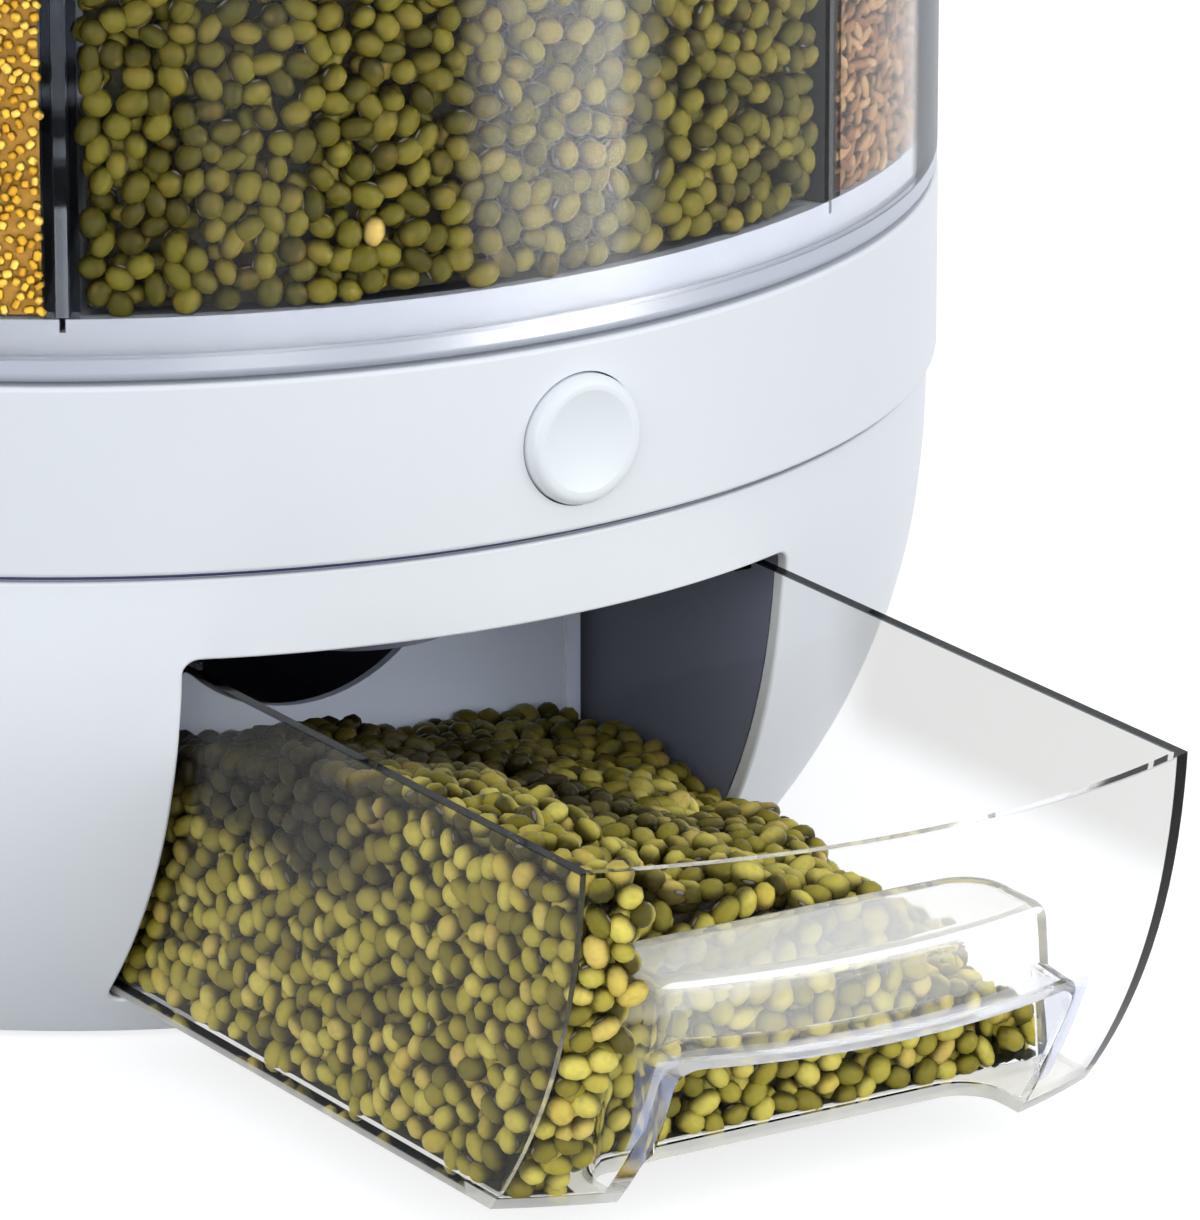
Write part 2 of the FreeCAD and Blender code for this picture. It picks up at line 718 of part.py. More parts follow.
def spout():
    """The round spout under the shutter, its lip notched where the shutter's boss comes in over it."""
    top_z = guide_bottom_z
    outer_radius = spout_bore_radius + spout_wall
    half_width = gate_half_width + gate_gap + guide_wall
    flange = radial_block(outlet_circle_radius - spout_flange_half_length,
                          outlet_circle_radius + spout_flange_half_length, half_width,
                          top_z - spout_flange_thickness, top_z)
    corners = edges_where(flange, lambda edge, mid: runs_along(edge, UP))
    flange = flange.makeFillet(3, corners)
    centre = V(0, -outlet_circle_radius, spout_bottom_z)
    lip_z = gate_bottom_z - gate_gap
    body = flange.fuse(Part.makeCylinder(outer_radius, lip_z - spout_bottom_z, centre))
    body = body.cut(Part.makeCylinder(spout_bore_radius, lip_z - spout_bottom_z, centre))
    boss_way = radial_block(gate_outer_end - gate_boss_overlap - button_travel - gate_gap, gate_outer_end,
                            gate_boss_half_width + gate_gap,
                            button_z - gate_boss_height / 2 - gate_gap, lip_z)
    body = body.cut(boss_way)
    for x, y in guide_screw_places():
        body = body.cut(Part.makeCylinder(guide_screw_radius + screw_fit, 10, V(x, y, top_z - 5)))
    return on_dispense_line(body.removeSplitter())


def pocket_room(grow):
    """The finger room behind the lip, drafted to draw downwards, or the same grown by a wall."""
    low_z = drawer_bottom_z - 5
    rise = pocket_ceiling_z - drawer_bottom_z

    def outline(z, height):
        share = (z - drawer_bottom_z) / rise
        half = pocket_half_width + (pocket_top_half_width - pocket_half_width) * share + grow
        back = pocket_back_y + (pocket_top_back_y - pocket_back_y) * share + grow
        front = -collar_radius
        corners = [V(-half, front, height), V(half, front, height),
                   V(half, back, height), V(-half, back, height)]
        return Part.makePolygon(corners + [corners[0]])

    top_z = pocket_ceiling_z + grow
    solid = Part.makeLoft([outline(low_z, low_z), outline(pocket_ceiling_z, top_z)], True, True)
    backs = edges_where(solid, lambda edge, mid: mid.y > pocket_top_back_y - 1
                        and abs(mid.x) > pocket_half_width / 2)
    solid = solid.makeFillet(pocket_back_corner + grow, backs)
    solid = solid.common(ring(pocket_lip_radius + grow, 0, low_z, top_z))
    fronts = edges_where(solid, lambda edge, mid: mid.y < (pocket_top_back_y - pocket_lip_radius) / 2
                         and abs(mid.x) > pocket_half_width / 2 and low_z + 5 < mid.z < top_z - 5)
    solid = solid.makeFillet(pocket_lip_corner + grow, fronts)
    tops = edges_where(solid, lambda edge, mid: mid.z > top_z - 0.01)
    return solid.makeFillet(pocket_ceiling_corner + grow, tops)


def pocket_mouth(grow):
    """The arch through the front and under the lip, a little narrower towards the room."""
    skin_y = -bowl_radius(pocket_soffit_z)

    def outline(y):
        half = pocket_half_width + grow - pocket_mouth_slope * (y - skin_y)
        top = pocket_soffit_z + grow + pocket_soffit_slope * (y - skin_y)
        low = drawer_bottom_z - 5
        corners = [V(-half, y, low), V(half, y, low), V(half, y, top), V(-half, y, top)]
        return Part.makePolygon(corners + [corners[0]])

    solid = Part.makeLoft([outline(-collar_radius - 10), outline(-pocket_lip_radius + 8)], True, True)
    corners = edges_where(solid, lambda edge, mid: abs(mid.x) > pocket_top_half_width - 2
                          and mid.z > pocket_soffit_z - 8 and mid.y < -pocket_lip_radius + 7)
    solid = solid.makeFillet(pocket_arch_corner + grow, corners)
    return solid.cut(ring(pocket_lip_radius - 9, 0, 0, drawer_rim_z))


def pocket_space(grow):
    """The whole finger pocket: the mouth in front and the room behind the lip."""
    return pocket_room(grow).fuse(pocket_mouth(grow))


def drawer_bin():
    """The clear drawer: front on the bowl's outline, finger pocket, and a notch for the spout."""
    outer = block(-drawer_half_width, drawer_half_width, -collar_radius, drawer_back_y,
                  drawer_bottom_z, drawer_rim_z)
    backs = edges_where(outer, lambda edge, mid: runs_along(edge, UP) and mid.y > 0)
    outer = outer.makeFillet(drawer_back_corner, backs)
    outer = outer.common(bowl_solid(0, drawer_bottom_z, shell_rim_z))
    inner_half = drawer_half_width - drawer_wall
    inner = block(-inner_half, inner_half, -collar_radius, drawer_back_y - drawer_wall,
                  drawer_bottom_z + drawer_floor, drawer_rim_z + 1)
    backs = edges_where(inner, lambda edge, mid: runs_along(edge, UP) and mid.y > 0)
    inner = inner.makeFillet(drawer_back_corner - drawer_wall, backs)
    inner = inner.common(bowl_solid(drawer_wall, drawer_bottom_z, shell_rim_z))
    inner = inner.cut(pocket_space(drawer_wall))
    body = outer.cut(inner).cut(pocket_space(0))
    notch = Part.makeCylinder(notch_radius, drawer_back_corner + 4,
                              V(0, drawer_back_y - drawer_back_corner, drawer_rim_z), V(0, 1, 0))
    body = body.cut(notch)
    for side in (-1, 1):
        x_low, x_high = sorted((side * drawer_half_width, side * (drawer_half_width - stop_tab_width)))
        tab = block(x_low, x_high, stop_tab_front_y, stop_tab_front_y + stop_tab_length,
                    drawer_rim_z - 1.5, drawer_rim_z + stop_tab_height)
        body = body.fuse(tab)
    body = body.removeSplitter()
    body.translate(V(0, -drawer_pull, 0))
    return body


def spindle():
    """The steel post that the tub turns on, held in the deck's boss."""
    low_z = deck_bottom_z - deck_boss_height
    top_z = hub_neck_top_z + 4
    post = ring(spindle_radius, 0, low_z - spindle_flange_thickness, top_z)
    flange = ring(spindle_flange_radius, 0, low_z - spindle_flange_thickness, low_z)
    return post.fuse(flange).removeSplitter()


def hub_washer():
    low_z = hub_neck_top_z - hub_socket_depth + washer_gap
    return ring(washer_radius, spindle_radius + spindle_fit, low_z, low_z + washer_thickness)


def hub_nut():
    """The nut that keeps the tub on its spindle."""
    low_z = hub_neck_top_z - hub_socket_depth + washer_gap + washer_thickness
    radius = nut_across_flats / math.sqrt(3)
    corners = [V(radius * math.cos(math.radians(60 * i)), radius * math.sin(math.radians(60 * i)), low_z)
               for i in range(6)]
    nut = Part.Face(Part.makePolygon(corners + [corners[0]])).extrude(V(0, 0, nut_height))
    return nut.cut(ring(spindle_radius + spindle_fit, 0, low_z, low_z + nut_height))


def bearing_balls():
    ball = Part.makeSphere(ball_radius, V(0, -ball_circle_radius, ball_z))
    return Part.makeCompound(around(ball, ball_count))


def ball_cage():
    """The flat ring that keeps the balls apart."""
    cage = ring(ball_circle_radius + cage_half_width, ball_circle_radius - cage_half_width,
                ball_z - cage_thickness / 2, ball_z + cage_thickness / 2)
    pocket = Part.makeCylinder(ball_radius + cage_hole_fit, cage_thickness,
                               V(0, -ball_circle_radius, ball_z - cage_thickness / 2))
    for hole in around(pocket, ball_count):
        cage = cage.cut(hole)
    return cage


def turntable():
    """The carrier wheel under the tub: hub, ball track, spokes, ring and skirt."""
    hub = ring(hub_disc_radius, 0, hub_disc_bottom_z, hub_disc_top_z)
    hub = hub.fuse(ring(hub_neck_radius, 0, hub_disc_bottom_z, hub_neck_top_z))
    hub = hub.fuse(ring(hub_ledge_radius, 0, hub_neck_top_z - hub_ledge_thickness, hub_neck_top_z))
    spigot_outer = column_inner_radius - hub_spigot_fit
    hub = hub.fuse(ring(spigot_outer, 0, hub_neck_top_z - 1, hub_neck_top_z + hub_spigot_height))
    outer = ring(wheel_radius, wheel_radius - wheel_ring_width, tub_flange_top_z, wheel_ring_top_z)
    skirt = ring(wheel_radius, wheel_radius - wheel_skirt_wall, tub_flange_top_z, funnel_rim_bottom_z)
    spoke_end = tub_radius - tub_flange_width - spoke_end_gap
    spoke_step = sleeve_end_radius - 3
    spoke = radial_block(hub_disc_radius - 3, spoke_step, spoke_half_width, spoke_bottom_z, wheel_ring_top_z)
    arm = radial_block(spoke_step - 1, spoke_end, spoke_half_width,
                       button_z + sleeve_radius + spoke_sleeve_gap, wheel_ring_top_z)
    tip = radial_block(spoke_end - 1, wheel_radius - 1, spoke_half_width, tub_flange_top_z, wheel_ring_top_z)
    spokes = around(spoke.fuse(arm).fuse(tip), compartment_count, tub_rest_turn + sector_angle / 2)
    wheel = fuse_all(hub, [outer, skirt] + spokes)
    wheel = wheel.cut(race_groove(ball_z))
    wheel = wheel.cut(ring(spindle_radius + spindle_fit, 0, 0, hub_neck_top_z))
    wheel = wheel.cut(ring(hub_socket_radius, 0, hub_neck_top_z - hub_socket_depth,
                           hub_neck_top_z + hub_spigot_height))
    return wheel


def sector_wire(outer_radius, inner_radius, half_angle, z):
    """The outline of one compartment, symmetric about the front radial line."""
    def at(radius, angle):
        return V(radius * math.sin(math.radians(angle)), -radius * math.cos(math.radians(angle)), z)

    outer = Part.Arc(at(outer_radius, -half_angle), at(outer_radius, 0), at(outer_radius, half_angle))
    inner = Part.Arc(at(inner_radius, half_angle), at(inner_radius, 0), at(inner_radius, -half_angle))
    return Part.Wire([
        outer.toShape(),
        Part.makeLine(at(outer_radius, half_angle), at(inner_radius, half_angle)),
        inner.toShape(),
        Part.makeLine(at(inner_radius, -half_angle), at(outer_radius, -half_angle)),
    ])


def outlet_wire(grow, z):
    """The outline of a funnel's outlet, in the same order as the compartment's outline."""
    half = funnel_outlet_width / 2 + grow
    far = -outlet_circle_radius - outlet_depth / 2 - grow
    near = -outlet_circle_radius + outlet_depth / 2 + grow
    corners = [V(-half, far, z), V(half, far, z), V(half, near, z), V(-half, near, z)]
    return Part.makePolygon(corners + [corners[0]])


def funnel():
    """One grain floor: a flat rim that falls to a short neck over the deck."""
    half_angle = sector_angle / 2 - funnel_side_angle
    rim = sector_wire(wheel_radius, funnel_inner_radius, half_angle, funnel_rim_bottom_z)
    body = Part.Face(rim).extrude(V(0, 0, funnel_wall))
    slope = sector_wire(wheel_radius - funnel_land, funnel_inner_radius + funnel_land,
                        half_angle - 1.5, funnel_rim_bottom_z)
    below = Part.makeLoft([slope, outlet_wire(neck_wall, funnel_outlet_z - funnel_wall)], True, True)
    neck = Part.Face(outlet_wire(neck_wall, neck_bottom_z)).extrude(
        V(0, 0, funnel_outlet_z - funnel_wall - neck_bottom_z))
    body = body.fuse(below).fuse(neck)
    top = sector_wire(wheel_radius - funnel_wall, funnel_inner_radius + funnel_wall,
                      half_angle - 1.0, grain_floor_z)
    space = Part.makeLoft([top, outlet_wire(0, funnel_outlet_z)], True, True)
    hole = Part.Face(outlet_wire(0, neck_bottom_z)).extrude(V(0, 0, funnel_outlet_z - neck_bottom_z))
    return body.cut(space).cut(hole).removeSplitter()


def outlet_seals():
    """A soft ring round each funnel's neck, just clear of the deck."""
    outer = Part.Face(outlet_wire(neck_wall + seal_wall, seal_bottom_z)).extrude(V(0, 0, seal_height))
    inner = Part.Face(outlet_wire(neck_wall, seal_bottom_z)).extrude(V(0, 0, seal_height))
    return Part.makeCompound(around(outer.cut(inner), compartment_count, tub_rest_turn))


def tub_wall():
    """The clear tub: an open ring with a rounded foot flange and a pair of ribs for each blade."""
    low, top = tub_bottom_z, tub_top_z
    inner_foot = tub_radius - tub_flange_width
    turn = tub_bottom_round * (1 - math.sqrt(0.5))
    edges = [
        Part.makeLine(V(inner_foot, 0, low), V(tub_radius - tub_bottom_round, 0, low)),
        Part.Arc(V(tub_radius - tub_bottom_round, 0, low), V(tub_radius - turn, 0, low + turn),
                 V(tub_radius, 0, low + tub_bottom_round)).toShape(),
        Part.makeLine(V(tub_radius, 0, low + tub_bottom_round), V(tub_radius, 0, top)),
        Part.makeLine(V(tub_radius, 0, top), V(tub_inner_radius, 0, top)),
        Part.makeLine(V(tub_inner_radius, 0, top), V(tub_inner_radius, 0, tub_flange_top_z)),
        Part.makeLine(V(tub_inner_radius, 0, tub_flange_top_z), V(inner_foot, 0, tub_flange_top_z)),
        Part.makeLine(V(inner_foot, 0, tub_flange_top_z), V(inner_foot, 0, low)),
    ]
    wall = Part.Face(Part.Wire(edges)).revolve(V(0, 0, 0), UP, 360)
    slot = blade_thickness / 2 + blade_rib_fit
    ribs = []
    for side in (-1, 1):
        near, far = sorted((side * slot, side * (slot + rib_width)))
        ribs.append(block(near, far, -tub_inner_radius - 1, -tub_inner_radius + rib_depth,
                          divider_bottom_z, top - rib_top_gap))
    pairs = [rib for one in ribs for rib in around(one, compartment_count, tub_rest_turn + sector_angle / 2)]
    return fuse_all(wall, pairs)


def divider():
    """Six blades on a hub column, standing between the funnels."""
    column = ring(hub_neck_radius + 1.0, column_inner_radius, hub_neck_top_z, divider_top_z)
    blade = radial_block(hub_neck_radius, tub_inner_radius - blade_fit, blade_thickness / 2,
                         divider_bottom_z, divider_top_z)
    blades = around(blade, compartment_count, tub_rest_turn + sector_angle / 2)
    return fuse_all(column, blades)


def hub_cap():
    """The cap that closes the hub column's top."""
    radius = hub_neck_radius + 1.0
    cap = ring(radius, 0, divider_top_z, divider_top_z + column_cap_thickness)
    rim = edges_where(cap, lambda edge, mid: mid.z > divider_top_z + 1 and edge.Closed)
    cap = cap.makeFillet(2.0, rim)
    plug_radius = column_inner_radius - 0.1
    return cap.fuse(ring(plug_radius, plug_radius - 2, divider_top_z - column_cap_rise, divider_top_z + 1))


def crown_z(radius):
    """Height of the lid's gently domed top at a radius."""
    rise = (tub_radius ** 2 + lid_crown ** 2) / (2 * lid_crown)
    return lid_top_z - rise + math.sqrt(rise ** 2 - radius ** 2)


def lid():
    """The lid: a low crown, a plug that drops into the tub, and a sunk dish for the grip."""
    dish_floor_z = lid_top_z - lid_dish_depth
    dish_top = lid_dish_radius + lid_dish_draft
    plug_outer = tub_inner_radius - lid_plug_gap
    plug_low = lid_bottom_z - lid_plug_depth
    crown_mid = (tub_radius + dish_top) / 2
    under_mid = (plug_outer - lid_plug_wall + dish_top) / 2

    def arc(r_low, r_mid, r_high, drop):
        points = [V(r, 0, crown_z(r) - drop) for r in (r_low, r_mid, r_high)]
        return Part.Arc(*points).toShape()

    inner_plug = plug_outer - lid_plug_wall
    corners = [
        (0, dish_floor_z), (lid_dish_radius, dish_floor_z), (dish_top, crown_z(dish_top)),
        (tub_radius, crown_z(tub_radius)), (tub_radius, lid_bottom_z), (plug_outer, lid_bottom_z),
        (plug_outer, plug_low), (inner_plug, plug_low), (inner_plug, crown_z(inner_plug) - lid_wall),
        (dish_top + lid_wall, crown_z(dish_top + lid_wall) - lid_wall),
        (lid_dish_radius + lid_wall, dish_floor_z - lid_wall), (0, dish_floor_z - lid_wall),
    ]
    points = [V(r, 0, z) for r, z in corners]
    edges = []
    for index, start in enumerate(points):
        end = points[(index + 1) % len(points)]
        if index == 2:
            edges.append(arc(dish_top, crown_mid, tub_radius, 0))
        elif index == 8:
            edges.append(arc(inner_plug, under_mid, dish_top + lid_wall, lid_wall))
        else:
            edges.append(Part.makeLine(start, end))
    body = Part.Face(Part.Wire(edges)).revolve(V(0, 0, 0), UP, 360)
    groove_top = lid_bottom_z - seal_band_drop
    body = body.cut(ring(plug_outer + 1, plug_outer - 0.8, groove_top - seal_band_height, groove_top))
    for x in grip_screw_places():
        body = body.cut(Part.makeCylinder(grip_screw_radius + screw_fit, 10, V(x, 0, dish_floor_z - 5)))
    rim = edges_where(body, lambda edge, mid: abs(math.hypot(mid.x, mid.y) - tub_radius) < 0.01
                      and abs(mid.z - crown_z(tub_radius)) < 0.01)
    return body.makeFillet(1.2, rim)


def lid_seal():
    """The soft band in the plug's groove, that holds the lid in the tub."""
    plug_outer = tub_inner_radius - lid_plug_gap
    groove_top = lid_bottom_z - seal_band_drop
    return ring(plug_outer + seal_lip, plug_outer - 0.8, groove_top - seal_band_height, groove_top)


def grip_screw_places():
    return [-grip_screw_place, grip_screw_place]


def lid_grip():
    """The bar that stands across the dish and is pinched from both sides."""
    end = lid_dish_radius - grip_end_gap
    floor_z = lid_top_z - lid_dish_depth
    top_z = lid_top_z - grip_top_gap
    bar = block(-end, end, -grip_half_width, grip_half_width, floor_z, top_z)
    bar = bar.common(ring(end, 0, floor_z, top_z))
    tops = edges_where(bar, lambda edge, mid: mid.z > top_z - 0.01)
    bar = bar.makeFillet(grip_round, tops)
    for x in grip_screw_places():
        bar = bar.cut(Part.makeCylinder(grip_screw_radius + screw_fit,
                                        grip_screw_length - lid_wall + 0.3, V(x, 0, floor_z)))
    return bar


def lid_screws():
    head_radius = grip_screw_radius + screw_head_extra
    low_z = lid_top_z - lid_dish_depth - lid_wall
    return Part.makeCompound([screw(grip_screw_radius, grip_screw_length, head_radius,
                                    low_z + grip_screw_length, x) for x in grip_screw_places()])


def build():
    """Every piece of the dispenser by the name of its node."""
    pieces = {
        "base_shell": base_shell(),
        "floor_plate": floor_plate(),
        "foot_pads": foot_pads(),
        "base_screws": base_screws(),
        "drawer_bay": drawer_bay(),
        "collar": collar(),
        "collar_screws": collar_screws(),
        "deck": deck(),
        "gate_guides": gate_guides(),
        "guide_screws": guide_screws(),
        "spout": spout(),
        "spindle": spindle(),
        "hub_washer": hub_washer(),
        "hub_nut": hub_nut(),
        "return_spring": return_spring(),
        "ball_cage": ball_cage(),
        "bearing_balls": bearing_balls(),
        "button_cap": button_cap(),
        "button_stem": button_stem(),
        "gate_plate": gate_plate(),
        "link_pin": link_pin(),
        "drawer_bin": drawer_bin(),
        "turntable": turntable(),
        "outlet_seals": outlet_seals(),
        "tub_wall": tub_wall(),
        "divider": divider(),
        "hub_cap": hub_cap(),
        "lid": lid(),
        "lid_seal": lid_seal(),
        "lid_grip": lid_grip(),
        "lid_screws": lid_screws(),
    }
    floors = around(funnel(), compartment_count, tub_rest_turn)
    for number, solid in enumerate(floors, 1):
        pieces["funnel_%d" % number] = solid
    return pieces


os.makedirs("parts", exist_ok=True)
for name, shape in build().items():
    shape.exportStep("parts/%s.step" % name)
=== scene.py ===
# %% [markdown]
# # A rotating grain dispenser, dressed for a studio picture
#
# The CAD model already has every moulded piece in its right place and size. This script loads it as a
# fixed frame, gives each piece a finish, fills three compartments and the drawer with grain, and sets
# up the camera and the lamps. Each step starts with a few words on why it is done that way.

# %% Load the frame
import json
import math

import bmesh
import bpy
from mathutils import Matrix, Vector, noise


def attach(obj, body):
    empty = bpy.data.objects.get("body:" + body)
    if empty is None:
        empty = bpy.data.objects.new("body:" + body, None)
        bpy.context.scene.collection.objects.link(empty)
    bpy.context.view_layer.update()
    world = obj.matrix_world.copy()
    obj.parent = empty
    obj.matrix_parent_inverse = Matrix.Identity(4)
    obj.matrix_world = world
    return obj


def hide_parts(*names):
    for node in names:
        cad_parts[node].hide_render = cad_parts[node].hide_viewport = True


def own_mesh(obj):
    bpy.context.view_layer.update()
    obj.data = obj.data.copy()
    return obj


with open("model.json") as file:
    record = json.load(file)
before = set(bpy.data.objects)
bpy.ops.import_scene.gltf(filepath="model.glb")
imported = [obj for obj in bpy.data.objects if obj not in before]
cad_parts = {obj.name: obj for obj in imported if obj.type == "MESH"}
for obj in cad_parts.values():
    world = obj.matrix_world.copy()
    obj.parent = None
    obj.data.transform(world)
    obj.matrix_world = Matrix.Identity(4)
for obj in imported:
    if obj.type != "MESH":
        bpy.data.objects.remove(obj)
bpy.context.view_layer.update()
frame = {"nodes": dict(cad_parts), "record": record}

MM = 0.001
print("pieces in the frame:", len(frame["nodes"]))

# %% [markdown]
# ## Camera
#
# The photograph was taken from far away with a long lens: the object's upright edges stay parallel and
# its rims are flat ellipses. A camera close by would spread them apart. So the camera stands 1.7 m from
# the dispenser, 32 degrees to its left and 17 degrees above it, and a 287 mm lens fills the frame.

# %% Camera
CAMERA_PLACE = Vector((-0.7966, -1.4370, 0.5478))
CAMERA_RIGHT = Vector((0.8472, -0.5313, 0.0))
CAMERA_BACK = Vector((-0.5075, -0.8092, 0.2961))
LENS_MM = 286.8


def add_camera():
    """A camera whose axes are given, as the photograph's perspective gives them."""
    lens = bpy.data.cameras.new("camera")
    lens.lens = LENS_MM
    lens.sensor_width = 36
    lens.clip_end = 50
    camera = bpy.data.objects.new("camera", lens)
    back = CAMERA_BACK.normalized()
    right = CAMERA_RIGHT.normalized()
    turn = Matrix((right, back.cross(right), back)).transposed()
    camera.matrix_world = Matrix.Translation(CAMERA_PLACE) @ turn.to_4x4()
    bpy.context.scene.collection.objects.link(camera)
    bpy.context.scene.camera = camera
    return camera


print("camera at", add_camera().location)

# %% [markdown]
# ## Shader maths as Python
#
# A finish is a small graph of nodes. Placing each Math node by hand hides the formula, so one class
# wraps a socket and turns `1 - mask * 0.5` into the nodes that work it out. One method makes every
# other node: its settings first, then the values or links of its sockets.

# %% Shader maths
MIX_SHARE, MIX_LOW, MIX_HIGH, MIX_RESULT = 0, 6, 7, 2


class Value:
    """A number, colour or vector that may differ over a surface: one output socket of a node."""

    def __init__(self, finish, socket):
        self.finish = finish
        self.socket = socket

    def math(self, operation, *values):
        return self.finish.node("ShaderNodeMath", {"operation": operation}, dict(enumerate(values)))

    def size(self):
        """The value without its sign."""
        return self.math("ABSOLUTE", self)

    def larger(self, other):
        return self.math("MAXIMUM", self, other)

    def __add__(self, other):
        return self.math("ADD", self, other)

    def __sub__(self, other):
        return self.math("SUBTRACT", self, other)

    def __rsub__(self, other):
        return self.math("SUBTRACT", other, self)

    def __mul__(self, other):
        return self.math("MULTIPLY", self, other)

    __radd__ = __add__
    __rmul__ = __mul__


class Finish:
    """The nodes of one material or of the world, and short ways to build them."""

    def __init__(self, owner):
        owner.use_nodes = True
        self.owner = owner
        self.tree = owner.node_tree
        self.tree.nodes.clear()

    def node(self, kind, settings=None, sockets=None, out=0):
        """A node of any type: settings, then its sockets by name or number, and the output to use."""
        made = self.tree.nodes.new(kind)
        for name, setting in (settings or {}).items():
            if name == "stops":
                self.set_stops(made.color_ramp.elements, setting)
            else:
                setattr(made, name, setting)
        for name, value in (sockets or {}).items():
            if isinstance(value, Value):
                self.tree.links.new(value.socket, made.inputs[name])
            else:
                made.inputs[name].default_value = value
        return Value(self, made.outputs[out])

    def set_stops(self, elements, stops):
        while len(elements) < len(stops):
            elements.new(0.5)
        for element, (position, colour) in zip(elements, stops):
            element.position = position
            element.color = tuple(colour) + (1.0,)

    def place(self, axis=None):
        """Where the shaded point lies on the object, in metres, or one coordinate of it."""
        point = self.node("ShaderNodeTexCoord", out="Object")
        if axis is None:
            return point
        return self.node("ShaderNodeSeparateXYZ", None, {0: point}, out=axis)

    def cloud(self, size, detail=2.0, stretch=(1, 1, 1)):
        """Soft noise from 0 to 1, its patches about `size` metres wide."""
        point = self.node("ShaderNodeMapping", None, {"Vector": self.place(), "Scale": stretch})
        sockets = {"Vector": point, "Scale": 1 / size, "Detail": detail}
        return self.node("ShaderNodeTexNoise", None, sockets)

    def mix(self, share, low, high):
        """A colour between two: low where the share is 0, high where it is 1."""
        sockets = {MIX_SHARE: share, MIX_LOW: low, MIX_HIGH: high}
        return self.node("ShaderNodeMix", {"data_type": "RGBA"}, sockets, out=MIX_RESULT)

    def rise(self, value, low, high):
        """0 below low, 1 above high, and smooth in between."""
        sockets = {"Value": value, "From Min": low, "From Max": high}
        return self.node("ShaderNodeMapRange", {"interpolation_type": "SMOOTHSTEP"}, sockets)

    def bump(self, height, depth):
        """Relief: a height from 0 to 1 that stands for a depth in metres."""
        return self.node("ShaderNodeBump", None, {"Height": height, "Distance": depth})

    def principled(self, **sockets):
        named = {name.replace("_", " "): value for name, value in sockets.items()}
        return self.node("ShaderNodeBsdfPrincipled", None, named)

    def within(self, value, low, high, soft):
        """1 between low and high, falling to 0 over a soft border outside them."""
        return self.rise(value, low - soft, low) * (1 - self.rise(value, high, high + soft))

    def blend(self, share, first, second):
        """Two shaders in one: the first where the share is 0, the second where it is 1."""
        return self.node("ShaderNodeMixShader", None, {0: share, 1: first, 2: second})

    def done(self, shader, output="ShaderNodeOutputMaterial"):
        """Ends the graph and gives what it belongs to."""
        end = self.tree.nodes.new(output)
        self.tree.links.new(shader.socket, end.inputs["Surface"])
        return self.owner


def material(name):
    return Finish(bpy.data.materials.new(name))


print("shader maths ready")

# %% [markdown]
# ## Floor, backdrop and lamps
#
# The photograph has a pure white ground and hardly a shadow. Turning up the lamps would bleach the
# white plastic too, so the lamps stay plain and the floor itself adds a little light of its own, only
# for rays that come from the camera, from gloss and through clear plastic. The world does the same.
# Three large soft boxes light the whole dispenser. Four more are kept to one piece each: two draw the
# pale streaks down the tub, one lights the drawer, and one lifts the low left side of the base. The
# streaks' boxes are only seen as mirror images. Their light would otherwise go on through the clear
# wall and bleach the grain behind it.

# %% Floor, world and lamps
WHITE = (1.0, 1.0, 1.0, 1.0)
FLOOR_RADIUS = 6.0
FLOOR_SIDES = 64
FLOOR_COLOUR = (0.4, 0.41, 0.43, 1.0)
FLOOR_GLOW = 0.78
SKY_LIGHT = (0.75, 0.765, 0.79, 1.0)
MIDDLE = (0.0, 0.0, 0.12)


def seen_rays(finish):
    """1 for rays from the camera, from gloss and through clear plastic, and 0 for the others."""
    rays = [finish.node("ShaderNodeLightPath", out=name)
            for name in ("Is Camera Ray", "Is Glossy Ray", "Is Transmission Ray")]
    return rays[0].larger(rays[1]).larger(rays[2])


def floor_material():
    """Matt white that still takes the object's shadow."""
    finish = material("stage_floor")
    matt = finish.node("ShaderNodeBsdfDiffuse", None, {"Color": FLOOR_COLOUR})
    glow = finish.node("ShaderNodeEmission", None, {"Strength": seen_rays(finish) * FLOOR_GLOW})
    return finish.done(finish.node("ShaderNodeAddShader", None, {0: matt, 1: glow}))


def add_floor():
    rim = [(FLOOR_RADIUS * math.cos(a), FLOOR_RADIUS * math.sin(a), 0)
           for a in (math.tau * i / FLOOR_SIDES for i in range(FLOOR_SIDES))]
    mesh = bpy.data.meshes.new("floor")
    mesh.from_pydata(rim, [], [tuple(range(FLOOR_SIDES))])
    mesh.materials.append(floor_material())
    floor = bpy.data.objects.new("floor", mesh)
    bpy.context.scene.collection.objects.link(floor)
    return floor


def light_world():
    """A pale sky for diffuse light and pure white for whatever looks at it."""
    world = bpy.data.worlds.new("studio")
    bpy.context.scene.world = world
    finish = Finish(world)
    colour = finish.mix(seen_rays(finish), SKY_LIGHT, WHITE)
    sky = finish.node("ShaderNodeBackground", None, {"Color": colour})
    return finish.done(sky, "ShaderNodeOutputWorld")


def add_lamp(name, place, size, watts, target=MIDDLE, only_on=None, mirrored=False):
    """A soft box aimed at the object, kept to one piece or to its mirror image where that is asked."""
    lamp = bpy.data.lights.new(name, "AREA")
    lamp.shape = "RECTANGLE"
    lamp.size, lamp.size_y = size
    lamp.energy = watts
    box = bpy.data.objects.new(name, lamp)
    aim = Vector(target) - Vector(place)
    box.matrix_world = Matrix.Translation(place) @ aim.to_track_quat("-Z", "Y").to_matrix().to_4x4()
    bpy.context.scene.collection.objects.link(box)
    if only_on:
        lit = bpy.data.collections.new(name + "_lights")
        lit.objects.link(frame["nodes"][only_on])
        box.light_linking.receiver_collection = lit
    if mirrored:
        box.visible_diffuse = box.visible_transmission = False
    return box


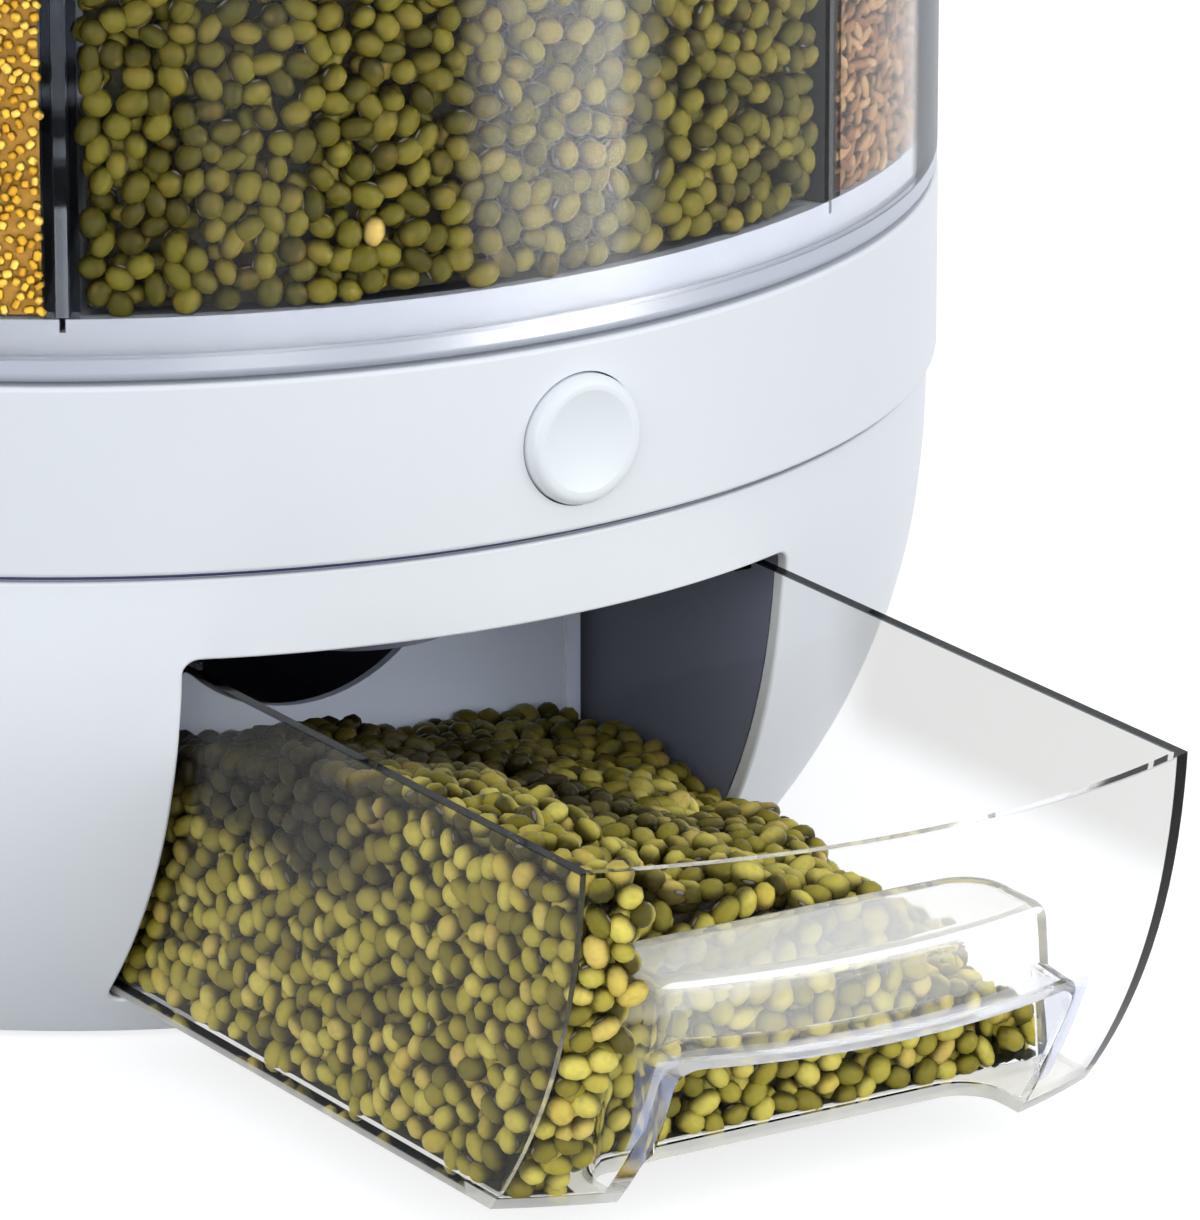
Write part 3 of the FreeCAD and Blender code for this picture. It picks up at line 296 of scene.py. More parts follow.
add_floor()
light_world()
add_lamp("key", (-1.3, -1.3, 0.5), (1.4, 1.4), 11)
add_lamp("fill", (1.1, -1.6, 0.65), (1.2, 1.2), 10.5)
add_lamp("top", (0.1, 0.2, 1.9), (1.6, 1.6), 4)
add_lamp("streak", (0.19, -0.43, 0.105), (0.17, 0.12), 3.5, (0.0, -0.147, 0.16), "tub_wall", True)
add_lamp("faint_streak", (-0.1, -0.47, 0.1), (0.1, 0.13), 0.5, (-0.05, -0.138, 0.16), "tub_wall", True)
add_lamp("bay", (0.15, -0.9, 0.5), (0.5, 0.5), 2.0, (0.0, -0.1, 0.06), "drawer_bin")
add_lamp("low_left", (-1.25, -0.7, 0.12), (1.0, 0.6), 3.0, (0.0, 0.0, 0.06), "base_shell")
bpy.context.scene.view_settings.view_transform = "Standard"

# %% [markdown]
# ## White moulded plastic
#
# The housing is satin plastic, a cool white. A flat colour looks like a drawing, so the finish has what
# a moulded part has: a very fine grain from the tool, slow waves in gloss where the melt cooled
# unevenly, and a trace of darker tone in them. All of it is noise in the object's own metres.

# %% White plastic
# The band under the collar gets a painted shade colour, because the shallow gap there would render pale.
SEAM_PAINTED_SHADE = (0.035, 0.04, 0.13, 1.0)
SEAM_LOW, SEAM_HIGH, SEAM_SOFT = 0.08895, 0.09012, 0.00004
WAVE_TONE = 0.965


def seam_painted_shade(finish):
    """Painted shade: the narrow band under the collar, where the base's spigot shows through the gap,
    painted dark as a shadowed gap.
    """
    return finish.within(finish.place("Z"), SEAM_LOW, SEAM_HIGH, SEAM_SOFT)


def moulded(name, colour, roughness, wave=0.035, grain=0.0006, depth=0.00001, painted_shade_mask=None):
    """Opaque moulded plastic, with waves in tone and gloss and a fine grain, and painted shade where a mask
    asks for it.
    """
    finish = material(name)
    waves = finish.cloud(wave)
    darker = tuple(c * WAVE_TONE for c in colour) + (1.0,)
    tone = finish.mix(waves, darker, tuple(colour) + (1.0,))
    if painted_shade_mask:
        # Painted shade where the mask says, such as the shadowed gap under the collar.
        tone = finish.mix(painted_shade_mask(finish), tone, SEAM_PAINTED_SHADE)
    shader = finish.principled(
        Base_Color=tone,
        Roughness=roughness - 0.05 + waves * 0.1,
        Normal=finish.bump(finish.cloud(grain), depth),
    )
    return finish.done(shader)


FINISHES = {
    "white_shell": moulded("white_shell", (0.80, 0.835, 0.875), 0.36, painted_shade_mask=seam_painted_shade),
    "white_button": moulded("white_button", (0.82, 0.87, 0.91), 0.32),
    "white_lid": moulded("white_lid", (0.80, 0.835, 0.875), 0.36),
    # The tray is white plastic, but its colour here is a dark grey-blue: painted shade for where it sits
    # behind the clear wall.
    "white_tray": moulded("white_tray", (0.305, 0.325, 0.37), 0.42),
    # The inner parts are white plastic too. Their dark blue-grey is painted shade for the deep inside of
    # the base.
    "white_inner": moulded("white_inner", (0.20, 0.215, 0.29), 0.5),
    "grey_shutter": moulded("grey_shutter", (0.34, 0.36, 0.41), 0.4),
    "natural_cage": moulded("natural_cage", (0.72, 0.68, 0.56), 0.45),
}
print("moulded finishes:", len(FINISHES))

# %% [markdown]
# ## Clear plastic
#
# The tub, its dividers and the drawer are clear. Real clear plastic bends light, so the shader does
# too: full transmission through walls of their true thickness. Lamps would have trouble finding their
# way through such walls, so rays towards a lamp pass straight through a slightly tinted film instead.
#
# Both faces of a thin wall mirror the white studio, which lays a white haze over what is inside. A dark
# specular tint and an index nearer to that of air cut the haze. They also cost the wall its dark edges,
# so those are painted shade: the tint is painted darker at grazing views, and the tub's edges are
# partly blended with an opaque dark shader, a painted stand-in for that shade.

# %% Clear plastic
EDGE_PAINTED_SHADE = (0.02, 0.03, 0.045, 1.0)
MIRROR_TINT = (0.1, 0.1, 0.11, 1.0)
GRAZING_FROM, GRAZING_TO = 0.75, 0.84
EDGE_FROM, EDGE_TO = 0.76, 0.8
PATCH_SIZE = 0.05


def clear_plastic(name, tint, painted_shade_mask, frost=None, film=0.93, index=1.49, edge=0.0, grazing=0.8,
                  polish=0.02):
    """Clear moulded plastic: painted shade where a mask or a grazing view says so, frosted where another
    does.

    tint is a colour, or a function that gives one. film is the share of a lamp's light that comes
    through, edge the share of an opaque dark shader painted in at grazing views as painted shade,
    grazing how far the tint is painted darker there, and polish the roughness at its smoothest.
    """
    finish = material(name)
    facing = finish.node("ShaderNodeLayerWeight", None, {"Blend": 0.5}, out="Facing")
    # Painted shade: the tint goes dark at grazing views and wherever the mask says.
    shade = (finish.rise(facing, GRAZING_FROM, GRAZING_TO) * grazing).larger(painted_shade_mask(finish))
    colour = tint(finish) if callable(tint) else tint
    surface = finish.principled(
        Base_Color=finish.mix(shade, colour, EDGE_PAINTED_SHADE),
        Roughness=polish + finish.cloud(PATCH_SIZE) * 0.03,
        IOR=index,
        Specular_Tint=MIRROR_TINT,
        Transmission_Weight=1.0,
    )
    if edge:
        # Painted shade: an opaque dark shader at grazing views, standing in for the dark edges of clear
        # plastic.
        dark = finish.principled(Base_Color=EDGE_PAINTED_SHADE, Roughness=0.3, Specular_IOR_Level=0.1)
        surface = finish.blend(finish.rise(facing, EDGE_FROM, EDGE_TO) * edge, surface, dark)
    if frost:
        colour, share = frost(finish)
        surface = finish.blend(share, surface, finish.principled(Base_Color=colour, Roughness=0.3))
    clear = finish.node("ShaderNodeBsdfTransparent", None, {"Color": (film, film, film, 1.0)})
    shadow = finish.node("ShaderNodeLightPath", out="Is Shadow Ray")
    return finish.done(finish.blend(shadow, surface, clear))


print("clear plastic ready")

# %% [markdown]
# ## The drawer's clear plastic
#
# A moulded bin isn't equally clear all over. Its rear wall and finger pocket are frosted, which the tool
# does with a rougher face where hands and the spout would scratch. The rest is painted light: a painted
# dark line on each border of the rim, a painted grey reflection in the side walls, painted pale lines
# along the pocket's lip, its arch, the drawer's foot and the step under the pocket, and a painted bluish
# shade on the pocket's cheeks. Each of these is a mask on the drawer's own coordinates, so it stays in its
# place from every side.

# %% Drawer's masks
# Masks are in metres, and a pair is where one begins and where it ends.
PULL_MM = 117.4
SIDE_WALL = (0.0544, 0.0546)
REAR_WALL = (-0.0724, -0.0722)
DIM_HEIGHT, DIM_BACK = (0.046, 0.057), (-0.165, -0.148)
RIM_HEIGHT = (0.0721, 0.0723)
RIM_MIDDLE, RIM_BORDER = 0.0556, (0.0004, 0.0006)
RIM_RIGHT = (0.01, 0.045)
POCKET_SIDE, POCKET_DEPTH = 0.0399, (-0.26, -0.2172)
ROOM_RADIUS, ROOM_HEIGHT, ROOM_CEILING = 0.1311, (0.0350, 0.0489), (0.0462, 0.0472)
ARCH_RADIUS, ARCH_HEIGHT = 0.1316, (0.0354, 0.0378)
LIP_RADII, LIP_HEIGHT = (0.1290, 0.1304), (0.0474, 0.0489)
CHEEK_SIDES, CHEEK_TOP = (0.0372, 0.0399), 0.0354
MOUTH_BACK = -0.238
FOOT_TOP, FOOT_SIDE = 0.0106, (0.0557, 0.0561)
STEP_TOP, STEP_BACK = 0.0118, (-0.2175, -0.2165)
# The side walls' greys are painted reflection of the dim studio, darkest high up in the right wall's front.
CLEAR_PAINTED_GREY, CLEAR_PAINTED_DIM = (0.90, 0.895, 0.87, 1.0), (0.71, 0.705, 0.68, 1.0)
CLEAR_PAINTED_PALE = (0.95, 0.95, 0.95, 1.0)
MILK, MILK_REAR = (0.92, 0.92, 0.88, 1.0), (0.76, 0.84, 1.0, 1.0)
# The arch's pale colour is a painted highlight, and the cheeks' blue is painted shade.
ARCH_PAINTED_PALE, CHEEK_PAINTED_SHADE = (0.76, 0.78, 0.86, 1.0), (0.50, 0.56, 0.82, 1.0)


def drawer_painted_tint(finish):
    """Clear in the middle, with a painted grey reflection in the side walls, greyer high up in the right
    one's front.
    """
    x, y, z = (finish.place(axis) for axis in "XYZ")
    left = finish.mix(finish.rise(x, -SIDE_WALL[1], -SIDE_WALL[0]), CLEAR_PAINTED_GREY, WHITE)
    dim = finish.rise(z, *DIM_HEIGHT) * (1 - finish.rise(y, *DIM_BACK))
    return finish.mix(finish.rise(x, *SIDE_WALL), left, finish.mix(dim, CLEAR_PAINTED_PALE, CLEAR_PAINTED_DIM))


def drawer_painted_shade(finish):
    """Painted shade: dark lines along both borders of the side rims, and a fainter front rim, darker
    towards the right.
    """
    across = finish.place("X").size()
    rim = finish.rise(finish.place("Z"), *RIM_HEIGHT)
    side = finish.rise(across, *SIDE_WALL)
    border = finish.rise((across - RIM_MIDDLE).size(), *RIM_BORDER)
    right = finish.rise(finish.place("X"), *RIM_RIGHT)
    return rim * (side * (0.65 + border * 0.35) + (1 - side) * (0.1 + right * 0.35))


def drawer_frost(finish):
    """Milky rear wall and finger pocket, with painted pale lines along the lip, the arch, the foot and the
    step, and painted bluish shade on the cheeks.
    """
    x, y, z = (finish.place(axis) for axis in "XYZ")
    across = x.size()
    back = y + PULL_MM * MM
    reach = x * x + back * back
    rear = finish.rise(y, *REAR_WALL)
    pocket = finish.within(across, -1, POCKET_SIDE, 0.0004) * finish.within(y, *POCKET_DEPTH, 0.0004)
    room = finish.within(reach, 0, ROOM_RADIUS ** 2, 0.0001) * finish.within(z, *ROOM_HEIGHT, 0.0006)
    room = room * (0.13 + 0.13 * finish.rise(z, *ROOM_CEILING))
    arch = finish.rise(reach, ROOM_RADIUS ** 2, ARCH_RADIUS ** 2) * finish.within(z, *ARCH_HEIGHT, 0.0003)
    lip = finish.within(reach, LIP_RADII[0] ** 2, LIP_RADII[1] ** 2, 0.00005)
    lip = lip * finish.within(z, *LIP_HEIGHT, 0.0002)
    cheek = finish.within(across, *CHEEK_SIDES, 0.0003) * finish.within(z, 0, CHEEK_TOP, 0.0005)
    mouth = pocket * finish.within(y, -1, MOUTH_BACK, 0.001)
    foot = finish.within(z, 0, FOOT_TOP, 0.0005) * finish.rise(across, *FOOT_SIDE)
    step = finish.within(z, 0, STEP_TOP, 0.0002) * (1 - finish.rise(y, *STEP_BACK))
    # The lip, foot and step shares are painted highlights: pale lines of frost where edges catch the light.
    share = (rear * 0.95).larger(pocket * room.larger(lip * 0.6)).larger(foot * 0.5)
    share = share.larger(mouth * (arch * 0.3).larger(cheek * 0.35)).larger(step * 0.6)
    colour = finish.mix(rear, MILK, MILK_REAR)
    colour = finish.mix(arch * mouth, colour, ARCH_PAINTED_PALE)
    return finish.mix(cheek * mouth, colour, CHEEK_PAINTED_SHADE), share


FINISHES["clear_drawer"] = clear_plastic(
    "clear_drawer", drawer_painted_tint, drawer_painted_shade, drawer_frost, index=1.15, grazing=0.55)
print("drawer's clear plastic ready")

# %% [markdown]
# ## The tub's clear plastic
#
# The tub's wall is clear, but the ribs that hold the blades look nearly black from outside, because one
# looks along them and not through them, so they get painted shade, and so does the upper rim. The blades
# get a painted smoky tint for the same reason. The wall's foot is ground matt and hides the wheel that it
# stands on. Its three tones are painted light: a painted shadow line between a painted highlight below
# and a paler band above.

# %% Tub's masks
TUB_TINT = (0.975, 0.98, 0.985, 1.0)
# The blades' smoky tint is painted shade for looking along clear plastic.
BLADE_PAINTED_SMOKE = (0.62, 0.64, 0.68, 1.0)
# The foot's bands are painted light: the lowest is a painted highlight on the rounded bottom, the middle a
# painted shadow line.
BAND_PAINTED_HIGHLIGHT, BAND_PAINTED_SHADOW, BAND_HIGH = (0.66, 0.70, 0.76, 1.0), (0.34, 0.38, 0.45, 1.0), (0.50, 0.54, 0.62, 1.0)
LINE_BEGINS, LINE_ENDS, BAND_TOP = (0.1214, 0.1219), (0.1222, 0.1248), (0.1262, 0.1268)
RIB_RADII, RIB_HEIGHT = (0.139, 0.1441), (0.1327, 0.284)
TUB_RIM = (0.2944, 0.2949)
BLADE_TOP, BLADE_END = (0.2794, 0.2799), (0.1435, 0.1438)


def tub_frost(finish):
    """The foot flange is ground matt, which hides the wheel that stands on it, in tones of painted light: a
    painted highlight at the bottom and a painted shadow line above it.
    """
    z = finish.place("Z")
    colour = finish.mix(finish.rise(z, *LINE_BEGINS), BAND_PAINTED_HIGHLIGHT, BAND_PAINTED_SHADOW)
    colour = finish.mix(finish.rise(z, *LINE_ENDS), colour, BAND_HIGH)
    return colour, 1 - finish.rise(z, *BAND_TOP)


def tub_painted_shade(finish):
    """Painted shade: dark ribs behind the wall, where one looks along the plastic, and a darker upper rim.
    """
    x, y, z = (finish.place(axis) for axis in "XYZ")
    ribs = finish.within(x * x + y * y, RIB_RADII[0] ** 2, RIB_RADII[1] ** 2, 0.00004)
    ribs = ribs * finish.within(z, *RIB_HEIGHT, 0.0001)
    return (ribs * 0.9).larger(finish.rise(z, *TUB_RIM) * 0.6)


def blade_painted_shade(finish):
    """Painted shade on the blades' upper and outer edges."""
    x, y, z = (finish.place(axis) for axis in "XYZ")
    outer = finish.rise(x * x + y * y, BLADE_END[0] ** 2, BLADE_END[1] ** 2) * 0.7
    return (finish.rise(z, *BLADE_TOP) * 0.6).larger(outer)


FINISHES["clear_tub"] = clear_plastic(
    "clear_tub", TUB_TINT, tub_painted_shade, tub_frost, film=0.75, index=1.2, edge=0.85, polish=0.09)
FINISHES["clear_divider"] = clear_plastic("clear_divider", BLADE_PAINTED_SMOKE, blade_painted_shade)
print("clear finishes:", [name for name in FINISHES if name.startswith("clear")])

# %% [markdown]
# ## Rubber, silicone and metal
#
# Small parts that are mostly hidden still get what they are made of: rubber is dark and matt with a
# sandy grain, turned steel has rings, zinc has a cloudy film, and the balls are polished.

# %% Rubber and metal
def metal(name, colour, roughness, size, stretch=(1, 1, 1)):
    """Bare metal with drawn or turned marks."""
    finish = material(name)
    marks = finish.cloud(size, 4.0, stretch)
    worn = tuple(c * 0.8 for c in colour) + (1.0,)
    shader = finish.principled(
        Base_Color=finish.mix(marks, worn, tuple(colour) + (1.0,)),
        Metallic=1.0,
        Roughness=roughness - 0.08 + marks * 0.16,
    )
    return finish.done(shader)


def soft(name, colour, roughness, depth):
    """Rubber or silicone: moulded, with a coarser grain than hard plastic has."""
    return moulded(name, colour, roughness, wave=0.01, grain=0.0008, depth=depth)


FINISHES["rubber_feet"] = soft("rubber_feet", (0.022, 0.022, 0.024), 0.75, 0.00006)
FINISHES["soft_seal"] = soft("soft_seal", (0.6, 0.62, 0.66), 0.6, 0.00003)
FINISHES["zinc_screws"] = metal("zinc_screws", (0.62, 0.63, 0.6), 0.32, 0.002)
FINISHES["steel_shaft"] = metal("steel_shaft", (0.58, 0.59, 0.6), 0.26, 0.004, (1, 1, 14))
FINISHES["steel_spring"] = metal("steel_spring", (0.55, 0.56, 0.58), 0.3, 0.002, (1, 6, 1))
FINISHES["steel_balls"] = metal("steel_balls", (0.75, 0.76, 0.78), 0.1, 0.003)
print("all finishes:", len(FINISHES))

# %% [markdown]
# ## Dress the frame
#
# The record says which finish each piece has, so one loop hands them out. Only the material slots are
# touched; the meshes stay as they were packed.

# %% Dress the frame
for part in frame["record"]["subparts"]:
    for slot in frame["nodes"][part["node"]].material_slots:
        slot.material = FINISHES[part["material_slot"]]

# %% [markdown]
# ## The button's spring
#
# A rigid copy of the spring would push through the deck when the button goes in. The real one gets
# shorter: its inner end stays where it is and its outer end follows the button, to 0.607 of its length
# at full travel. Here a copy of the CAD coil stands in for the node and rides rigidly on the base.


def add_spring():
    wire = bmesh.new()
    wire.from_mesh(frame["nodes"]["return_spring"].data)
    bmesh.ops.remove_doubles(wire, verts=wire.verts, dist=1e-6)
    mesh = bpy.data.meshes.new("return_spring_coil")
    wire.to_mesh(mesh)
    wire.free()
    mesh.materials.append(FINISHES["steel_spring"])
    coil = bpy.data.objects.new("return_spring_coil", mesh)
    bpy.context.scene.collection.objects.link(coil)
    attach(coil, "base")
    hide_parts("return_spring")
    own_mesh(coil)
    return coil


print("spring vertices:", len(add_spring().data.vertices))

# %% [markdown]
# ## Grain: the shape of a heap
#
# Grain isn't a part of the dispenser, but without it the clear tub has nothing to show. A heap is
# described by two functions: where a point lies for a share across, a share along and a height, and
# how high the grain stands there. From these comes a skin of quads on the sides that can be seen.

# %% Heaps
THINNEST = 1.5


def heap_skin(name, place, top, low, sides, steps):
    """The heap's visible faces as a mesh: place(u, v, z) gives a point and top(u, v) a height."""
    points, faces = [], []

    def patch(at, count_a, count_b, flip):
        """A grid of quads: at(a, b) gives u, v and the share of the height. Thin grain gets no face."""
        first, heights = len(points), []
        for i in range(count_a + 1):
            for j in range(count_b + 1):
                u, v, share = at(i / count_a, j / count_b)
                heights.append(top(u, v) - low)
                points.append(place(u, v, low + max(heights[-1], 0) * share))
        for i in range(count_a):
            for j in range(count_b):
                a = i * (count_b + 1) + j
                corners = [a, a + count_b + 1, a + count_b + 2, a + 1]
                if min(heights[c] for c in corners) > THINNEST:
                    corners = [first + c for c in corners]
                    faces.append(corners[::-1] if flip else corners)

    across, along, up = steps
    patches = {
        "top": (lambda a, b: (a, b, 1), across, along, True),
        "bottom": (lambda a, b: (a, b, 0), across, along, False),
        "front": (lambda a, b: (a, 1, b), across, up, False),
        "back": (lambda a, b: (a, 0, b), across, up, True),
        "left": (lambda a, b: (0, a, b), along, up, False),
        "right": (lambda a, b: (1, a, b), along, up, True),
    }
    for side in sides:
        patch(*patches[side])
    mesh = bpy.data.meshes.new(name)
    mesh.from_pydata(points, [], faces)
    mesh.update()
    skin = bpy.data.objects.new(name, mesh)
    bpy.context.scene.collection.objects.link(skin)
    return skin


print("heap builder ready")

# %% [markdown]
# ## One grain of each kind
#
# A green bean is a short barrel with a white scar on its side, millet is nearly a ball, and the brown
# grain is long. They repeat thousands of times, so each has only a few dozen faces. Every vertex keeps
# its own place in the grain as an attribute, which lets the shader draw the scar on every copy.

# %% Grains
def grain_mesh(name, size, rings, sectors, blunt=0.0):
    """One grain, long along X: a sphere in rings, pressed to its size in mm and blunted at its ends."""
    around = [(math.cos(math.tau * j / sectors), math.sin(math.tau * j / sectors)) for j in range(sectors)]
    points = [(1, 0, 0)]
    for i in range(1, rings):
        angle = math.pi * i / rings
        radius = math.sin(angle) ** (1 - blunt)
        points += [(math.cos(angle), radius * y, radius * z) for y, z in around]
    points.append((-1, 0, 0))
    last = len(points) - 1
    faces = []
    for j in range(sectors):
        after = (j + 1) % sectors
        faces.append((0, 1 + j, 1 + after))
        for i in range(rings - 2):
            a, b = 1 + i * sectors, 1 + (i + 1) * sectors
            faces.append((a + j, b + j, b + after, a + after))
        base = 1 + (rings - 2) * sectors
        faces.append((last, base + after, base + j))
    mesh = bpy.data.meshes.new(name)
    mesh.from_pydata([tuple(c * s * MM / 2 for c, s in zip(p, size)) for p in points], [], faces)
    mesh.shade_smooth()
    spot = mesh.attributes.new("grain_place", "FLOAT_VECTOR", "POINT")
    for i, point in enumerate(points):
        spot.data[i].vector = point
    return bpy.data.objects.new(name, mesh)


BEAN = grain_mesh("bean", (5.3, 4.4, 4.2), 6, 8, 0.12)
FAR_BEAN = grain_mesh("far_bean", (5.4, 4.5, 4.3), 4, 6, 0.12)
TUB_BEAN = grain_mesh("tub_bean", (5.5, 4.7, 4.5), 6, 8, 0.12)
MILLET = grain_mesh("millet", (2.1, 1.9, 1.8), 3, 5)
BROWN_GRAIN = grain_mesh("brown_grain", (5.2, 2.4, 2.1), 4, 6)
print("faces of a bean:", len(BEAN.data.polygons), "of millet:", len(MILLET.data.polygons))

# %% [markdown]
# ## The grains' skins
#
# No two beans have one colour. Each copy carries a random tone, which a ramp turns into a colour, and
# noise adds brown clouds and dull specks across them. The scatter turns a grain's own Z outwards, so
# low Z is the side that its neighbours shade: that side is painted nearly black, a painted shade for the
# gaps between grains. Beans that lie far back in the drawer, below the deck, get painted shade too, and
# the tub's beans are a darker, painted-shade copy of the drawer's.

# %% Grain finishes
DEEP_PAINTED_SHADE = (0.012, 0.009, 0.002, 1.0)
DULL = (0.02, 0.018, 0.004, 1.0)
CLOUD_BROWN = (0.24, 0.15, 0.03, 1.0)
SCAR_BORDER = (0.05, 0.025, 0.01, 1.0)
SCAR_WHITE = (0.82, 0.80, 0.72, 1.0)
SCAR_ALONG, SCAR_ACROSS = 7.0, 45.0
CLOUD_SIZE, SPECK_SIZE = 0.0035, 0.0009
HIGH_BACK, HIGH_HEIGHT = (-0.205, -0.165), (0.042, 0.052)
DEEP_BACK, DEEP_HEIGHT = (-0.15, -0.10), (0.02, 0.045)
LOOSE_STOPS = ((0.0, (0.15, 0.13, 0.014)), (0.4, (0.33, 0.285, 0.035)), (0.8, (0.56, 0.49, 0.10)),
               (0.93, (0.52, 0.40, 0.10)), (0.98, (0.48, 0.39, 0.06)), (0.998, (0.6, 0.42, 0.12)))
# The tub's beans are the drawer's beans painted darker: a painted shade copy for the light inside the tub.
TUB_BEAN_PAINTED_SHADE_STOPS = ((0.0, (0.033, 0.029, 0.003)), (0.4, (0.073, 0.064, 0.006)), (0.8, (0.12, 0.105, 0.011)),
               (0.93, (0.12, 0.095, 0.014)), (0.98, (0.11, 0.093, 0.011)), (0.998, (0.5, 0.35, 0.10)))
MILLET_STOPS = ((0.0, (0.60, 0.30, 0.02)), (0.4, (0.82, 0.45, 0.04)), (0.9, (0.95, 0.62, 0.11)))
BROWN_STOPS = ((0.0, (0.12, 0.05, 0.02)), (0.5, (0.20, 0.10, 0.04)), (0.95, (0.29, 0.17, 0.075)))


def far_back_painted_shade(finish):
    """1 for beans that lie high and far back in the drawer: painted shade for the shadow the base casts
    there.
    """
    y, z = finish.place("Y"), finish.place("Z")
    high = finish.rise(y, *HIGH_BACK) * finish.rise(z, *HIGH_HEIGHT)
    deep = finish.rise(y, *DEEP_BACK) * finish.rise(z, *DEEP_HEIGHT)
    return high.larger(deep) * 0.95


def grain_finish(name, stops, roughness, scar=False, painted_shade_mask=None):
    """A grain's skin: each copy takes its own tone and a bean its scar. The inner side and masked places
    get painted shade.
    """
    finish = material(name)
    tone = finish.node("ShaderNodeAttribute", {"attribute_name": "grain_tone"}, out="Fac")
    colour = finish.node("ShaderNodeValToRGB", {"stops": stops}, {0: tone}, out="Color")
    clouds = finish.rise(finish.cloud(CLOUD_SIZE), 0.5, 0.75) * 0.45
    colour = finish.mix(clouds, colour, finish.mix(0.55, colour, CLOUD_BROWN))
    specks = finish.rise(finish.cloud(SPECK_SIZE, 3.0), 0.4, 0.8) * 0.4
    colour = finish.mix(specks, colour, finish.mix(0.5, colour, DULL))
    spot = finish.node("ShaderNodeAttribute", {"attribute_name": "grain_place"}, out="Vector")
    x, y, z = (finish.node("ShaderNodeSeparateXYZ", None, {0: spot}, out=axis) for axis in "XYZ")
    if scar:
        oval = x * x * SCAR_ALONG + z * z * SCAR_ACROSS
        side = finish.rise(y, 0.2, 0.5)
        colour = finish.mix((1 - finish.rise(oval, 1.3, 2.2)) * side * 0.8, colour, SCAR_BORDER)
        colour = finish.mix((1 - finish.rise(oval, 0.5, 1.0)) * side, colour, SCAR_WHITE)
    # Painted shade: each grain's inner side, low in its own Z, is painted nearly black.
    colour = finish.mix((1 - finish.rise(z, -0.1, 0.85)) * 0.85, colour, DEEP_PAINTED_SHADE)
    if painted_shade_mask:
        colour = finish.mix(painted_shade_mask(finish), colour, DEEP_PAINTED_SHADE)
    return finish.done(finish.principled(Base_Color=colour, Roughness=roughness, Specular_IOR_Level=0.12))


def painted_shade_core(name, colour):
    """Matt and dark: painted shade for the deeper grain that shows between the grains."""
    return moulded(name, colour, 0.8, wave=0.004, grain=0.001, depth=0.0002)


LOOSE_SKIN = grain_finish("loose_bean", LOOSE_STOPS, 0.3, scar=True, painted_shade_mask=far_back_painted_shade)
BEAN_CORE = painted_shade_core("bean_shade", (0.02, 0.018, 0.004))
TUB_BEAN_PAINTED_SHADE_SKIN = grain_finish("green_bean_painted_shade", TUB_BEAN_PAINTED_SHADE_STOPS, 0.3, scar=True)
MILLET_SKIN = grain_finish("millet", MILLET_STOPS, 0.45)
MILLET_CORE = painted_shade_core("millet_shade", (0.4, 0.2, 0.02))
BROWN_SKIN = grain_finish("brown_grain", BROWN_STOPS, 0.5)
BROWN_CORE = painted_shade_core("brown_shade", (0.16, 0.08, 0.035))
print("grain finishes ready")

# %% [markdown]
# ## Scatter grain over a heap
#
# Geometry Nodes lay grain over the heap's skin: points that keep their distance, turned at random
# about the skin's normal, with one grain on each. The tree has named inputs, so the same tree serves
# beans, millet and brown grain. It ends in real geometry, because instances are lost in an export.

